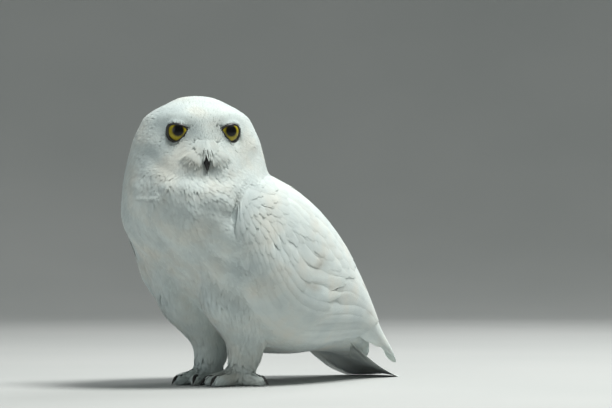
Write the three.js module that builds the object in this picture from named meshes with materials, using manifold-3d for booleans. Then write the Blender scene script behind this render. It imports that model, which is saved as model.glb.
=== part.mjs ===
// A snowy owl at rest on the ground, life size, as a museum model.
// Millimetres, +Z up. The owl faces -Y, its left side is +X, and its head is turned to its left.
// Shapes are worked out in the stance frame, whose origin lies on the floor between the ankles.
// At the end the model is moved so that the middle of its own base is the origin.
import * as THREE from "three";
import { mergeVertices } from "three/addons/utils/BufferGeometryUtils.js";
import Module from "manifold-3d";

const wasm = await Module();
wasm.setup();

// ---- driving dimensions ----
const gap = 0.35; // clearance between neighbouring solids
const degree = Math.PI / 180;

const trunkMiddle = new THREE.Vector3(0, 30, 165); // where the body's axis passes through the trunk
const axisSlope = 38.75 * degree; // the body's axis falls towards the tail
const boxiness = 2.25; // exponent of the trunk's superelliptic sections
// How much boxier the underside is: [distance along the axis, added to the exponent].
const squarer = [
  [-90, 0],
  [-55, 0.3],
  [-25, 0.9],
  [20, 1],
  [80, 0.8],
  [130, 0.4],
  [180, 0],
];

// Outline of body and folded wings together: [distance along the axis, half width, back, breast].
const outline = [
  [-150, 35, 0, -62],
  [-125, 68, 28, -78],
  [-90, 87, 48, -86],
  [-40, 101, 70, -92.5],
  [20, 105, 86.5, -98],
  [80, 100, 89.5, -92],
  [130, 88, 84.5, -67],
  [180, 70, 75, -22],
  [230, 53, 63, 10],
  [280, 40, 54, 34],
  [306, 27, 50, 44],
];
// The trunk alone draws in behind the thighs, under the folded wings and the tail.
const trunkOutline = [
  ...outline.slice(0, 6),
  [130, 86, 84, -65],
  [175, 62, 72, -28],
  [215, 42, 60, 2],
  [262, 14, 46, 26],
];
const trunkCap = 5; // how far the trunk's ends reach beyond its outline

// Head and neck from the crown down: [half width, height].
const headProfile = [
  [0, 330],
  [20, 327.3],
  [37, 319.5],
  [50, 312.5],
  [59.5, 305],
  [66.5, 292.5],
  [72.5, 279],
  [76.5, 265],
  [80, 250],
  [82.5, 236],
  [84, 221],
  [81.5, 205],
  [74, 190],
  [60, 176],
  [0, 166],
];
const headMiddle = new THREE.Vector3(0, -39, 276);
const headTurn = 52 * degree; // towards the owl's left shoulder
// The head is shallower than wide, the neck round: [height, share of the half width in front, behind].
const headDepth = [
  [174, 1, 1],
  [222, 0.99, 1],
  [238, 0.92, 0.98],
  [250, 0.88, 0.95],
  [275, 0.9, 0.92],
  [331, 0.94, 0.94],
];

// Places on the face, in the head's own frame: x to the owl's left, -y forwards, z up.
const eyePlace = { x: 26.5, y: -41.5, z: 11 };
const eyeRadius = 15.5;
// Swellings and hollows of the face, the same on both sides.
const swellings = [
  { x: 28, z: 24, lift: 3.4, spread: 11 }, // brow
  { x: 29, z: 1, lift: -6.5, spread: 14 }, // round the eye
  { x: 13, z: -20, lift: 6, spread: 10 }, // muzzle
  { x: 0, z: -36, lift: -3.5, spread: 9 }, // chin
];
const swellReach = 1.6; // how quickly the swellings fade in from the ears forwards

const bill = { rootY: -57, rootZ: -5, tipY: -75.5, tipZ: -33.5, halfWidth: 6, halfHeight: 7.4 };
// The ridge's two guide points: [behind the tip, over the root] and [behind the tip, over the tip].
const billRidge = { nearRoot: [12.5, -2], nearTip: [3.5, 15], tipBack: 1.8 };
const lowerBillShape = { under: 12, halfWidth: 4.6, flatness: 0.8, short: 4.5 };
const hornPoint = 0.25; // radius left at the tips of bill and claws

// Edges of the folded wing on the outline: [distance along the axis, lower edge, upper edge], in degrees
// round the section from the owl's left side (0) to the middle of the back (90).
const wingEdges = [
  [-99, 4, 12],
  [-92, -10, 28],
  [-50, -41, 56],
  [-12, -58, 67],
  [31, -67, 74],
  [70, -62, 79],
  [120, -46, 83],
  [170, -36, 85],
  [220, -27, 86],
  [262, -14, 82],
  [288, 8, 66],
  [298, 26, 42],
];
// Thickness of the folded wing: [distance along the axis, millimetres].
const wingThickness = [
  [-99, 8],
  [-40, 14],
  [60, 14],
  [150, 10],
  [230, 6],
  [298, 3.5],
];

const wingEdge = 2.4; // thickness of the wing's edges
const wingCover = 12; // the neck's ruff gives way to the wing by so much
const wingCorners = 16; // half of them on the outer face and half on the inner one
const wingLever = 45; // least distance of the wing's edges from the body's axis
const wingEndRoom = 8; // clearance at the wing's two ends, in gaps

const tailLine = [
  [112, 94],
  [180, 61],
  [250, 23],
  [306, 2],
]; // [distance behind the ankles, height]
const tailHalfWidth = [
  [0, 24],
  [0.5, 33],
  [0.85, 40],
  [0.95, 34],
  [1, 12],
]; // [share of its length, millimetres]
const tailThickness = 9;
const tailTipThickness = 4.6;
const tailWidest = 0.85; // share of its length where the tail is widest
const tailCamber = 6; // how far the tail's edges droop

// Feathered thigh and shank: [height, radius, distance behind the ankles, distance from the midline].
const trouser = [
  [25, 21, 13, 26],
  [38, 22.5, 14, 26],
  [47, 24.5, 13, 27],
  [60, 32.5, 8, 29.5],
  [74, 41, 0, 32],
  [83, 45, -4, 33],
  [95, 46, -10, 34],
  [118, 46, -16, 36],
  [142, 42, -22, 38],
];
const trouserNarrow = 0.76; // half width as a share of the radius

const ankle = { x: 26, y: 9 };
// The shank's line: [outwards of the ankle, behind it, height].
const tarsus = [
  [1, 16, 54],
  [0, 6, 26],
  [0, -7, -6],
];
const tarsusRadius = 19;
const toeRadius = 10.5;
const toeTaper = 0.22;
const toeFlatness = 0.86;
const soleLift = 7; // height of a toe's middle line over the floor
// Toes: turn outwards from straight ahead, and length up to the claw.
const toes = {
  inner: { turn: -26, length: 34 },
  middle: { turn: 4, length: 39 },
  outer: { turn: 98, length: 30 },
  hind: { turn: 205, length: 27 },
};
const toeRoot = { back: -6, lift: 3 }; // from the ankle and over the sole's middle line
const claw = { length: 17, radius: 3.2, rise: 6.5, sunk: 5, taper: 0.7, flatness: 1.15 };

// The two cuts across the neck: [way that the cut faces, its height along that way].
const chinCut = { normal: [0, -0.19, 0.982], height: 240 };
const neckCut = { normal: [0, -0.26, 0.966], height: 217 };

// ---- helpers ----

// A smooth curve through rows of [position, value], read at any position.
function through(rows, column = 1) {
  const places = rows.map((row) => row[0]);
  const values = rows.map((row) => row[column]);
  const curve = new THREE.CubicInterpolant(places, values, 1);
  const last = places[places.length - 1];
  return (at) => curve.evaluate(Math.min(Math.max(at, places[0]), last))[0];
}

// A closed geometry as a solid for joining and cutting.
function solidOf(geometry) {
  const bare = geometry.clone();
  bare.deleteAttribute("normal");
  bare.deleteAttribute("uv");
  const merged = mergeVertices(bare, 1e-3);
  const corners = Array.from(merged.index.array);
  const kept = [];
  for (let i = 0; i < corners.length; i += 3) {
    const [a, b, c] = corners.slice(i, i + 3);
    if (a !== b && b !== c && a !== c) kept.push(a, b, c);
  }
  const made = (triVerts) =>
    new wasm.Manifold(
      new wasm.Mesh({
        numProp: 3,
        vertProperties: new Float32Array(merged.attributes.position.array),
        triVerts: new Uint32Array(triVerts),
      }),
    );
  const solid = made(kept);
  return solid.volume() > 0 ? solid : made(kept.reverse());
}

// A sphere whose rings are moved to place(u, v): u runs from pole to pole, v once round.
function skinned(rings, sides, place) {
  const sphere = new THREE.SphereGeometry(1, sides, rings);
  const position = sphere.attributes.position;
  for (let ring = 0; ring <= rings; ring++) {
    for (let side = 0; side <= sides; side++) {
      const end = ring === 0 || ring === rings;
      const point = place(ring / rings, end ? 0 : (side % sides) / sides);
      position.setXYZ(ring * (sides + 1) + side, point.x, point.y, point.z);
    }
  }
  return solidOf(sphere);
}

// A round or oval sweep along a curve that keeps to one upright plane.
function sweep(rings, sides, curve, radius, flatness = 1) {
  const start = curve.getPoint(0);
  const end = curve.getPoint(1);
  const across = new THREE.Vector3(end.y - start.y, start.x - end.x, 0).normalize();
  return skinned(rings, sides, (u, v) => {
    const along = curve.getTangent(u);
    const upward = new THREE.Vector3().crossVectors(across, along);
    const share = u === 0 || u === 1 ? 0 : radius(u);
    const turn = 2 * Math.PI * v;
    return curve
      .getPoint(u)
      .addScaledVector(across, share * Math.cos(turn))
      .addScaledVector(upward, share * flatness * Math.sin(turn));
  });
}

// The cut meshes of a solid can hold a stray sliver: keep the body itself.
function largest(solid) {
  return solid.decompose().reduce((a, b) => (b.volume() > a.volume() ? b : a));
}

const signedPower = (value, power) => Math.sign(value) * Math.abs(value) ** power;
const hill = (dx, dz, spread) => Math.exp(-(dx * dx + dz * dz) / (2 * spread * spread));
const round = (u, power) => Math.sqrt(Math.max(0, 1 - u ** power)); // 1 at u = 0, 0 at u = 1

// ---- body and wings ----

const axis = new THREE.Vector3(0, Math.cos(axisSlope), -Math.sin(axisSlope));
const backward = new THREE.Vector3(0, Math.sin(axisSlope), Math.cos(axisSlope));
const squarerAt = through(squarer);

// A point of a sectioned body: along its axis, round its section, and so deep under its surface.
function sectionPoint(shape, along, turn, depth) {
  const middle = (shape.back(along) + shape.breast(along)) / 2;
  const halfHeight = (shape.back(along) - shape.breast(along)) / 2 - depth;
  const halfWidth = shape.half(along) - depth;
  const power = 2 / (boxiness + (Math.sin(turn) < 0 ? squarerAt(along) : 0));
  return new THREE.Vector3(halfWidth * signedPower(Math.cos(turn), power), 0, 0)
    .addScaledVector(axis, along)
    .addScaledVector(backward, middle + halfHeight * signedPower(Math.sin(turn), power))
    .add(trunkMiddle);
}

const shapeOf = (rows) => ({
  half: through(rows, 1),
  back: through(rows, 2),
  breast: through(rows, 3),
});
const envelope = shapeOf(outline);
const trunkShape = shapeOf(trunkOutline);

function bodySolid(grow) {
  const first = trunkOutline[0][0];
  const last = trunkOutline[trunkOutline.length - 1][0];
  return skinned(21, 28, (u, v) => {
    const along = first + ((1 - Math.cos(Math.PI * u)) / 2) * (last - first);
    if (u === 0 || u === 1) {
      const ring = [0, 0.5].map((t) => sectionPoint(trunkShape, along, t * 2 * Math.PI, 0));
      const cap = u ? trunkCap : -trunkCap;
      return ring[0].add(ring[1]).multiplyScalar(0.5).addScaledVector(axis, cap);
    }
    return sectionPoint(trunkShape, along, 2 * Math.PI * v, -grow);
  });
}

// The folded wing, or with grow and cover the room that it needs inside and outside its surface.
function wingSolid(side, grow, cover) {
  const low = through(wingEdges, 1);
  const high = through(wingEdges, 2);
  const thick = through(wingThickness);
  const first = wingEdges[0][0];
  const last = wingEdges[wingEdges.length - 1][0];
  const edgeGrow = grow / wingLever; // the same clearance as an angle, with a little to spare
  const lastCorner = wingCorners / 2 - 1;
  return skinned(20, wingCorners, (u, v) => {
    const end = u === 0 || u === 1;
    const beyond = end ? (2 * u - 1) * wingEndRoom * grow : 0;
    const along = first + ((1 - Math.cos(Math.PI * u)) / 2) * (last - first) + beyond;
    const step = Math.round(v * wingCorners);
    const outside = step <= lastCorner;
    const chord = (outside ? step : wingCorners - 1 - step) / lastCorner;
    const from = low(along) * degree - edgeGrow;
    const to = high(along) * degree + edgeGrow;
    const turn = end ? (from + to) / 2 : from + chord * (to - from);
    const bulge = Math.sqrt(Math.sin(Math.PI * chord));
    const inside = wingEdge + (thick(along) - wingEdge) * bulge + grow;
    const depth = end ? wingEdge / 2 : outside ? -cover : inside;
    const point = sectionPoint(envelope, along, turn, depth);
    point.x *= side;
    return point;
  });
}

function tailSolid(grow) {
  const line = new THREE.SplineCurve(tailLine.map(([y, z]) => new THREE.Vector2(y, z)));
  const half = through(tailHalfWidth);
  return skinned(11, 16, (u, v) => {
    const share = Math.sin((Math.PI / 2) * u); // rings stand closer towards the round tip
    const middle = line.getPoint(share);
    const tangent = line.getTangent(share);
    const turn = 2 * Math.PI * v;
    const open = u === 0 || u === 1 ? 0 : 1;
    const reach = open * (half(share) + grow) * signedPower(Math.cos(turn), 0.8);
    const thick = tailThickness + (tailTipThickness - tailThickness) * share;
    const rise = open * (thick / 2 + grow) * signedPower(Math.sin(turn), 0.6);
    const droop = (tailCamber * reach * reach * (1 - share * share)) / half(tailWidest) ** 2;
    return new THREE.Vector3(
      reach,
      middle.x - tangent.y * rise,
      middle.y + tangent.x * rise - droop,
    );
  });
}

// ---- head ----

const headFrame = new THREE.Matrix4()
  .makeTranslation(headMiddle)
  .multiply(new THREE.Matrix4().makeRotationZ(headTurn));

const placedOnHead = (solid) => solid.transform(Array.from(headFrame.elements));

function headSolid() {
  const profile = new THREE.SplineCurve(headProfile.map(([r, z]) => new THREE.Vector2(r, z)));
  const front = through(headDepth, 1);
  const behind = through(headDepth, 2);
  const solid = skinned(24, 28, (u, v) => {
    const { x: halfWidth, y: height } = profile.getPoint(u);
    const turn = 2 * Math.PI * v;
    const facing = -Math.sin(turn);
    const x = halfWidth * Math.cos(turn);
    const z = height - headMiddle.z;
    const mirrored = Math.abs(x);
    const lift = swellings.reduce(
      (sum, swelling) => sum + swelling.lift * hill(mirrored - swelling.x, z - swelling.z, swelling.spread),
      0,
    );
    const depth = facing > 0 ? front(height) : behind(height);
    const y = -facing * halfWidth * depth - lift * Math.min(1, swellReach * Math.max(0, facing));
    return new THREE.Vector3(x, y, z);
  });
  return placedOnHead(solid);
}

function eyeSolid(side, grow) {
  const ball = new THREE.SphereGeometry(eyeRadius + grow, 16, 10);
  ball.translate(side * eyePlace.x, eyePlace.y, eyePlace.z);
  return placedOnHead(solidOf(ball));
}

function upperBill(grow) {
  const { nearRoot, nearTip, tipBack } = billRidge;
  const ridge = new THREE.CubicBezierCurve3(
    new THREE.Vector3(0, bill.rootY, bill.rootZ),
    new THREE.Vector3(0, bill.tipY + nearRoot[0], bill.rootZ + nearRoot[1]),
    new THREE.Vector3(0, bill.tipY + nearTip[0], bill.tipZ + nearTip[1]),
    new THREE.Vector3(0, bill.tipY + tipBack, bill.tipZ),
  );
  const radius = (u) => (bill.halfWidth + grow) * round(u, 1.7) + hornPoint;
  return placedOnHead(sweep(9, 10, ridge, radius, bill.halfHeight / bill.halfWidth));
}

function lowerBill(grow) {
  const { under, halfWidth, flatness, short } = lowerBillShape;
  const keel = new THREE.QuadraticBezierCurve3(
    new THREE.Vector3(0, bill.rootY + 2, bill.rootZ - under),
    new THREE.Vector3(0, bill.tipY + 6, bill.rootZ - under - 2),
    new THREE.Vector3(0, bill.tipY + short, bill.tipZ + short),
  );
  const radius = (u) => (halfWidth + grow) * round(u, 2) + hornPoint;
  return placedOnHead(sweep(7, 8, keel, radius, flatness));
}

// ---- legs and feet ----

function trouserSolid(side, grow) {
  const radius = through(trouser, 1);
  const rear = through(trouser, 2);
  const out = through(trouser, 3);
  const hem = trouser[0][0];
  const top = trouser[trouser.length - 1][0];
  return skinned(12, 20, (u, v) => {
    const height = hem + Math.sin((Math.PI / 2) * u) * (top - hem);
    const reach = u === 0 || u === 1 ? 0 : radius(height) + grow;
    const turn = 2 * Math.PI * v;
    return new THREE.Vector3(
      side * out(height) + reach * trouserNarrow * Math.cos(turn),
      rear(height) + reach * Math.sin(turn),
      height - (u === 0 ? grow : 0),
    );
  });
}

// Where a toe starts and the way that it points.
function toeLine(side, toe) {
  const turn = toe.turn * degree;
  const way = new THREE.Vector3(side * Math.sin(turn), -Math.cos(turn), 0);
  const start = new THREE.Vector3(side * ankle.x, ankle.y + toeRoot.back, soleLift + toeRoot.lift);
  return { way, start };
}

function toeSolid(side, toe) {
  const { way, start } = toeLine(side, toe);
  const knuckle = start.clone().addScaledVector(way, toe.length / 2);
  const end = start.clone().addScaledVector(way, toe.length).setZ(soleLift - 0.8);
  const curve = new THREE.QuadraticBezierCurve3(start, knuckle, end);
  const radius = (u) => toeRadius * (1 - toeTaper * u) * Math.max(0.14, round(u, 6));
  return sweep(7, 8, curve, radius, toeFlatness);
}

function tarsusSolid(side) {
  const guides = tarsus.map(([out, behind, height]) => {
    return new THREE.Vector3(side * (ankle.x + out), ankle.y + behind, height);
  });
  return sweep(7, 12, new THREE.QuadraticBezierCurve3(...guides), () => tarsusRadius);
}

function clawSolid(side, toe, grow) {
  const { way, start } = toeLine(side, toe);
  const root = start.clone().addScaledVector(way, toe.length - claw.sunk).setZ(soleLift + 1);
  const crest = root.clone().addScaledVector(way, claw.length * 0.62).setZ(soleLift + claw.rise);
  const tip = root.clone().addScaledVector(way, claw.length).setZ(1);
  const curve = new THREE.QuadraticBezierCurve3(root, crest, tip);
  const radius = (u) => (claw.radius + grow) * (1 - u) ** claw.taper + hornPoint;
  return sweep(6, 8, curve, radius, claw.flatness);
}

function footSolid(side) {
  const parts = Object.values(toes).map((toe) => toeSolid(side, toe));
  const whole = parts.reduce((sum, part) => sum.add(part), tarsusSolid(side));
  return whole.trimByPlane([0, 0, 1], 0); // the soles' small flats
}

// ---- the owl, parted into its named pieces ----

const owl = new THREE.Group();

const plumage = { color: 0xf1f2ec, roughness: 0.9, metalness: 0 };
const horn = { color: 0x14130f, roughness: 0.35, metalness: 0 };
const iris = { color: 0xd9a400, roughness: 0.08, metalness: 0 };

function addPiece(name, solid, finish) {
  const { numProp, numVert, vertProperties, triVerts } = largest(solid).getMesh();
  const places = new Float32Array(numVert * 3);
  for (let i = 0; i < numVert; i++) {
    places.set(vertProperties.subarray(i * numProp, i * numProp + 3), i * 3);
  }
  const geometry = new THREE.BufferGeometry()
    .setAttribute("position", new THREE.BufferAttribute(places, 3))
    .setIndex(new THREE.BufferAttribute(new Uint32Array(triVerts), 1));
  const mesh = new THREE.Mesh(geometry, new THREE.MeshStandardMaterial(finish));
  mesh.name = name;
  owl.add(mesh);
}

const sides = { left: 1, right: -1 };
const wings = Object.fromEntries(
  Object.entries(sides).map(([name, side]) => [name, wingSolid(side, 0, 0)]),
);
const wingRoom = wingSolid(1, gap, wingCover).add(wingSolid(-1, gap, wingCover));
const tailRoom = tailSolid(gap);

// Head, neck and trunk are one smooth body, parted by the two thin cuts.
const core = bodySolid(0).add(headSolid()).subtract(wingRoom).subtract(tailRoom);

const above = (solid, cut) => solid.trimByPlane(cut.normal, cut.height);
const below = (solid, cut) =>
  solid.trimByPlane(
    cut.normal.map((part) => -part),
    gap - cut.height,
  );

const eyeRoom = eyeSolid(1, gap).add(eyeSolid(-1, gap));
const billRoom = upperBill(gap).add(lowerBill(gap));
addPiece("head", above(core, chinCut).subtract(eyeRoom).subtract(billRoom), plumage);
addPiece("neck", below(above(core, neckCut), chinCut).subtract(billRoom), plumage);
addPiece("trunk", below(core, neckCut), plumage);
addPiece("tail", tailSolid(0).trimByPlane([0, 0, 1], 0), plumage);
addPiece("bill_upper", upperBill(0), horn);
addPiece("bill_lower", lowerBill(0).subtract(upperBill(gap)), horn);

const coreRoom = bodySolid(gap);
for (const [name, side] of Object.entries(sides)) {
  addPiece(`wing_${name}`, wings[name].subtract(tailRoom), plumage);
  addPiece(`eye_${name}`, eyeSolid(side, 0), iris);
  const leg = trouserSolid(side, 0)
    .subtract(coreRoom)
    .subtract(wingRoom)
    .subtract(tailRoom)
    .trimByPlane([side, 0, 0], gap / 2);
  addPiece(`leg_${name}`, leg, plumage);
  const clawRoom = Object.values(toes)
    .map((toe) => clawSolid(side, toe, gap))
    .reduce((sum, part) => sum.add(part));
  const foot = footSolid(side).subtract(trouserSolid(side, gap)).subtract(clawRoom).subtract(coreRoom);
  addPiece(`foot_${name}`, foot, plumage);
  for (const [toeName, toe] of Object.entries(toes)) {
    addPiece(`claw_${name}_${toeName}`, clawSolid(side, toe, 0), horn);
  }
}

const base = new THREE.Box3().setFromObject(owl);
owl.position.set(-(base.min.x + base.max.x) / 2, -(base.min.y + base.max.y) / 2, -base.min.z);

export default owl;
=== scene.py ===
from itertools import product

import bpy
import numpy as np
from mathutils import Matrix, Vector
from mathutils.kdtree import KDTree


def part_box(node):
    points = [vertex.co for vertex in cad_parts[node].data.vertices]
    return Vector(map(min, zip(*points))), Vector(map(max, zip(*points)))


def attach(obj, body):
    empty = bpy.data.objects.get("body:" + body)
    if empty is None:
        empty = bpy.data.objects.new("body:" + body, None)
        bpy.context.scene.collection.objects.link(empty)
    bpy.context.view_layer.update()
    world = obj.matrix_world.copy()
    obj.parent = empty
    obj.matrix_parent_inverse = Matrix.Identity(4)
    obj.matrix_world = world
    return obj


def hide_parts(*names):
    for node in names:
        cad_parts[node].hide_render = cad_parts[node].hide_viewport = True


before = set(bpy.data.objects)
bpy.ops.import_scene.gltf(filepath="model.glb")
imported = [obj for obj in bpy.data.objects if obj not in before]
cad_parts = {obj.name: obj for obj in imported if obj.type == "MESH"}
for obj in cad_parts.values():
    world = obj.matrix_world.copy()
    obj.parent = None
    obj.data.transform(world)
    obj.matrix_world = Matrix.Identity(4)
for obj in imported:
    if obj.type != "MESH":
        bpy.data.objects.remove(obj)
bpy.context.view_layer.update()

chance = np.random.default_rng(7)

# Lengths are in millimetres from a point on the floor between the owl's ankles: x towards its
# left, y behind it, z up. Meshes are moved to the frame and turned to metres as they are made.

bodyShape = {
    "middle": (0, 30, 165),     # where the body's axis passes through the trunk
    "slope": 38.75,             # degrees that the axis falls towards the tail
    "boxiness": 2.25,
    # how much boxier the underside is, by distance along the axis
    "squarer": [(-90, 0), (-55, 0.3), (-25, 0.9), (20, 1.0), (80, 0.8), (130, 0.4), (180, 0)],
    # distance along the axis, half width, back, breast
    "outline": [
        (-150, 35, 0, -62), (-125, 68, 28, -78), (-90, 87, 48, -86), (-40, 101, 70, -92.5),
        (20, 105, 86.5, -98), (80, 100, 89.5, -92), (130, 88, 84.5, -67), (180, 70, 75, -22),
        (230, 53, 63, 10), (280, 40, 54, 34), (306, 27, 50, 44),
    ],
    # the rump inside the folded wings
    "rump": [(130, 86, 84, -65), (175, 62, 72, -28), (215, 42, 60, 2), (262, 14, 46, 26)],
}

headShape = {
    "middle": (0, -39, 276),
    "turn": 52,                 # degrees towards the left shoulder
    # half width and height, from the crown down
    "profile": [
        (0, 330), (20, 327.3), (37, 319.5), (50, 312.5), (59.5, 305), (66.5, 292.5), (72.5, 279),
        (76.5, 265), (80, 250), (82.5, 236), (84, 221), (81.5, 205), (74, 190), (60, 176),
    ],
    "domeFrom": 236,            # the dome's own centre height
    # height, depth of the face and of the nape as shares of the half width
    "depth": [(174, 1, 1), (222, 0.99, 1), (238, 0.92, 0.98), (250, 0.88, 0.95),
              (275, 0.9, 0.92), (331, 0.94, 0.94)],
    # swellings of the face: side, height over the middle, lift, spread
    "brow": (28, 24, 3.4, 11),
    "cheekHollow": (29, 1, -6.5, 14),
    "muzzle": (13, -20, 6, 10),
    "chin": (0, -36, -3.5, 9),
}

eyeShape = {
    "place": (26.5, -41.5, 11),  # in the head's own frame
    "ball": 15.5,
    "bulge": 1.6,                # how far the cornea stands out of the ball
    "gaze": (13, 4),             # degrees that each eye looks outwards and up
    "limbus": 12.6,
    "pupil": 5.9,
    # The opening between the lids lies on a round of this radius and faces this way. Its edge:
    # degrees up from the outer corner, distance from its middle.
    "rim": 16.7,
    "lidFacing": (25, 0),
    "opening": [(0, 8.8), (35, 9.4), (60, 8.0), (85, 7.0), (112, 6.7), (142, 8.9), (160, 11.2),
                (171, 12.2), (186, 10.8), (212, 9.6), (236, 9.4), (255, 10.1), (279, 11.4),
                (300, 11.0), (330, 9.8)],
    # width of the black lid: everywhere, more towards the outer corner, more above
    "lid": (0.8, 1.9, 0.5),
    "lidSkin": 16.4,             # radius of the skin over the ball, and of the coat over that
    "lidCoat": 17.7,
}

billShape = {
    "root": (-57, -5),           # forward place and height, head's frame
    "tip": (-75.5, -33.5),
    "halfWidth": 6.0,
    "halfHeight": 7.4,
    # guides of the ridge's line between root and tip: forward place and height
    "ridge": [(-63, -7), (-72, -18.5)],
}

legShape = {
    # height, radius, distance behind the ankles, distance from the midline
    "trouser": [(142, 42, -22, 38), (118, 46, -16, 36), (95, 46, -10, 34), (83, 45, -4, 33),
                (74, 41, 0, 32), (60, 32.5, 8, 29.5), (47, 24.5, 13, 27), (38, 22.5, 14, 26),
                (25, 21, 13, 26)],
    "trouserNarrow": 0.76,       # half width as a share of the radius
    "trouserLean": 0.88,         # true distance from a leaning side as a share of the level one
    "ankle": (26, 9),
    "shankTop": (27, 23, 50),    # of the feathered shank's middle line, and its end in the foot
    "shankEnd": (26, 7, 10),
    "shank": (19, 15),           # radius at its top and its end
    "toeRadius": 10.5,
    "toeTaper": 0.72,
    "soleLift": 7,
    # turn outwards from straight ahead in degrees, length to the claw
    "toes": {"inner": (-26, 34), "middle": (4, 39), "outer": (98, 30), "hind": (205, 27)},
    "clawLength": 17,
    "clawRadius": 3.2,
    "clawRoot": (5, 1.8),        # behind and above the toe's end
    "clawCrest": (0.64, 6.5),    # share of the length, height over the toe's end
    "clawTip": 1.0,              # height over the floor
}


def curveThrough(rows, column=1):
    # A smooth curve through rows: cubic pieces whose slopes are the slopes between neighbours.
    at = np.array([row[0] for row in rows], float)
    value = np.array([row[column] for row in rows], float)
    slope = np.gradient(value, at)

    def read(x):
        x = np.clip(x, at[0], at[-1])
        i = np.clip(np.searchsorted(at, x) - 1, 0, len(at) - 2)
        span = at[i + 1] - at[i]
        s = (x - at[i]) / span
        return ((2 * s**3 - 3 * s**2 + 1) * value[i] + (s**3 - 2 * s**2 + s) * span * slope[i]
                + (3 * s**2 - 2 * s**3) * value[i + 1] + (s**3 - s**2) * span * slope[i + 1])
    return read


def ease(low, high, x):
    # 0 below low, 1 above high, and a smooth rise between.
    s = np.clip((x - low) / (high - low), 0, 1)
    return s * s * (3 - 2 * s)


def unit(v):
    # Each vector divided by its own length.
    return v / np.maximum(np.linalg.norm(v, axis=-1, keepdims=True), 1e-9)


def dot(a, b):
    # The sum of the products of the coordinates, kept as a column.
    return (a * b).sum(-1, keepdims=True)


def powered(x, power):
    # A power that keeps the sign.
    return np.sign(x) * np.abs(x) ** power


axisSlope = np.radians(bodyShape["slope"])
axis = np.array([0, np.cos(axisSlope), -np.sin(axisSlope)])
backward = np.array([0, np.sin(axisSlope), np.cos(axisSlope)])
bodyMiddle = np.array(bodyShape["middle"], float)
headMiddle = np.array(headShape["middle"], float)
headTurn = np.radians(headShape["turn"])
headWays = np.array([[np.cos(headTurn), np.sin(headTurn), 0],
                     [-np.sin(headTurn), np.cos(headTurn), 0],
                     [0, 0, 1]])      # the head's own left, back and up

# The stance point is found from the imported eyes, which sit level on both sides of the head.
eyeBoxes = [np.array(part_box(name)).mean(0) * 1000 for name in ("eye_left", "eye_right")]
cadEyes = np.array([0, eyeShape["place"][1], eyeShape["place"][2]])
stance = (eyeBoxes[0] + eyeBoxes[1]) / 2 - headMiddle - cadEyes @ headWays


def fromHead(points):
    # From the head's own frame: turned with the head, then moved to its middle.
    return headMiddle + np.asarray(points, float) @ headWays


def toHead(points):
    # Into the head's own frame, the other way round.
    return (points - headMiddle) @ headWays.T


# The owl's form is a field: millimetres outside its surface, negative inside.

bodyRows = bodyShape["outline"][:6] + bodyShape["rump"]
bodyCurves = [curveThrough(bodyRows, i) for i in (1, 2, 3)]
wingCurves = [curveThrough(bodyShape["outline"], i) for i in (1, 2, 3)]
squarer = curveThrough(bodyShape["squarer"])


def alongAndUp(p):
    # Distances from the body's middle along its axis and square to it, towards the back.
    offset = p - bodyMiddle
    return offset @ axis, offset @ backward


def boxinessAt(along, up):
    # The superellipse's power: squarer along the underside.
    return bodyShape["boxiness"] + squarer(along) * (up < 0)


def trunkField(p):
    # A superellipse across the body's axis whose width, back and breast follow their curves.
    along, up = alongAndUp(p)
    half, back, breast = (read(along) for read in bodyCurves)
    middle = (back + breast) / 2
    height = (back - breast) / 2
    power = boxinessAt(along, up - middle)
    ring = (np.abs(p[:, 0] / half) ** power + np.abs((up - middle) / height) ** power) ** (1 / power)
    beyond = np.maximum(bodyRows[0][0] - along, along - bodyRows[-1][0])
    return np.maximum((ring - 1) * np.sqrt(half * height), beyond)


profileUp = headShape["profile"][::-1]
neckWidth = curveThrough([(z, r) for r, z in profileUp])
domeRows = sorted(
    (np.arctan2(z - headShape["domeFrom"], r), np.hypot(z - headShape["domeFrom"], r))
    for r, z in headShape["profile"] if z >= headShape["domeFrom"])
domeReach = curveThrough(domeRows)
faceDepth = curveThrough(headShape["depth"], 1)
napeDepth = curveThrough(headShape["depth"], 2)


openingRows = [(np.radians(turn - 360 * lap), reach) for lap in (1, 0, -1)
               for turn, reach in eyeShape["opening"]]
lidReach = curveThrough(openingRows)      # any angle from -360 to 690 degrees


def lidWidth(turn):
    # Width of the black lid at an angle up from the outer corner.
    base, outer, above = eyeShape["lid"]
    return base + outer * ease(0, 1, np.cos(turn)) + above * ease(0.3, 1, np.sin(turn))


def eyeWays(facing):
    # Outward, up and forward ways of the left eye in the head's own frame.
    outward, lift = np.radians(facing)
    level = np.array([np.sin(outward), -np.cos(outward), 0])
    lateral = np.array([np.cos(outward), np.sin(outward), 0])
    return (lateral, np.array([0, 0, np.cos(lift)]) - level * np.sin(lift),
            level * np.cos(lift) + np.array([0, 0, np.sin(lift)]))


lidWays = eyeWays(eyeShape["lidFacing"])


def eyeSight(q):
    # For points of the head's frame: distance outside the nearer eye's black lid, which widens
    # like a cone from the eye's middle, and distance from that middle.
    offset = np.stack([np.abs(q[:, 0]), q[:, 1], q[:, 2]], 1) - eyeShape["place"]
    far = np.linalg.norm(offset, axis=1)
    a, b, c = (offset @ way for way in lidWays)
    turn = np.arctan2(b, a)
    away = np.hypot(a, b) - (lidReach(turn) + lidWidth(turn)) * far / eyeShape["rim"]
    return np.where(c > 0, away, 1e3), far


def withLids(field, q, radius):
    # Adds a round over each eyeball to the head's field and cuts the opening between the lids.
    away, far = eyeSight(q)
    opened = np.maximum(away, eyeShape["ball"] - 2 - far)
    return np.maximum(softJoin([field, far - radius], 0.8)[0], -opened)


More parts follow.
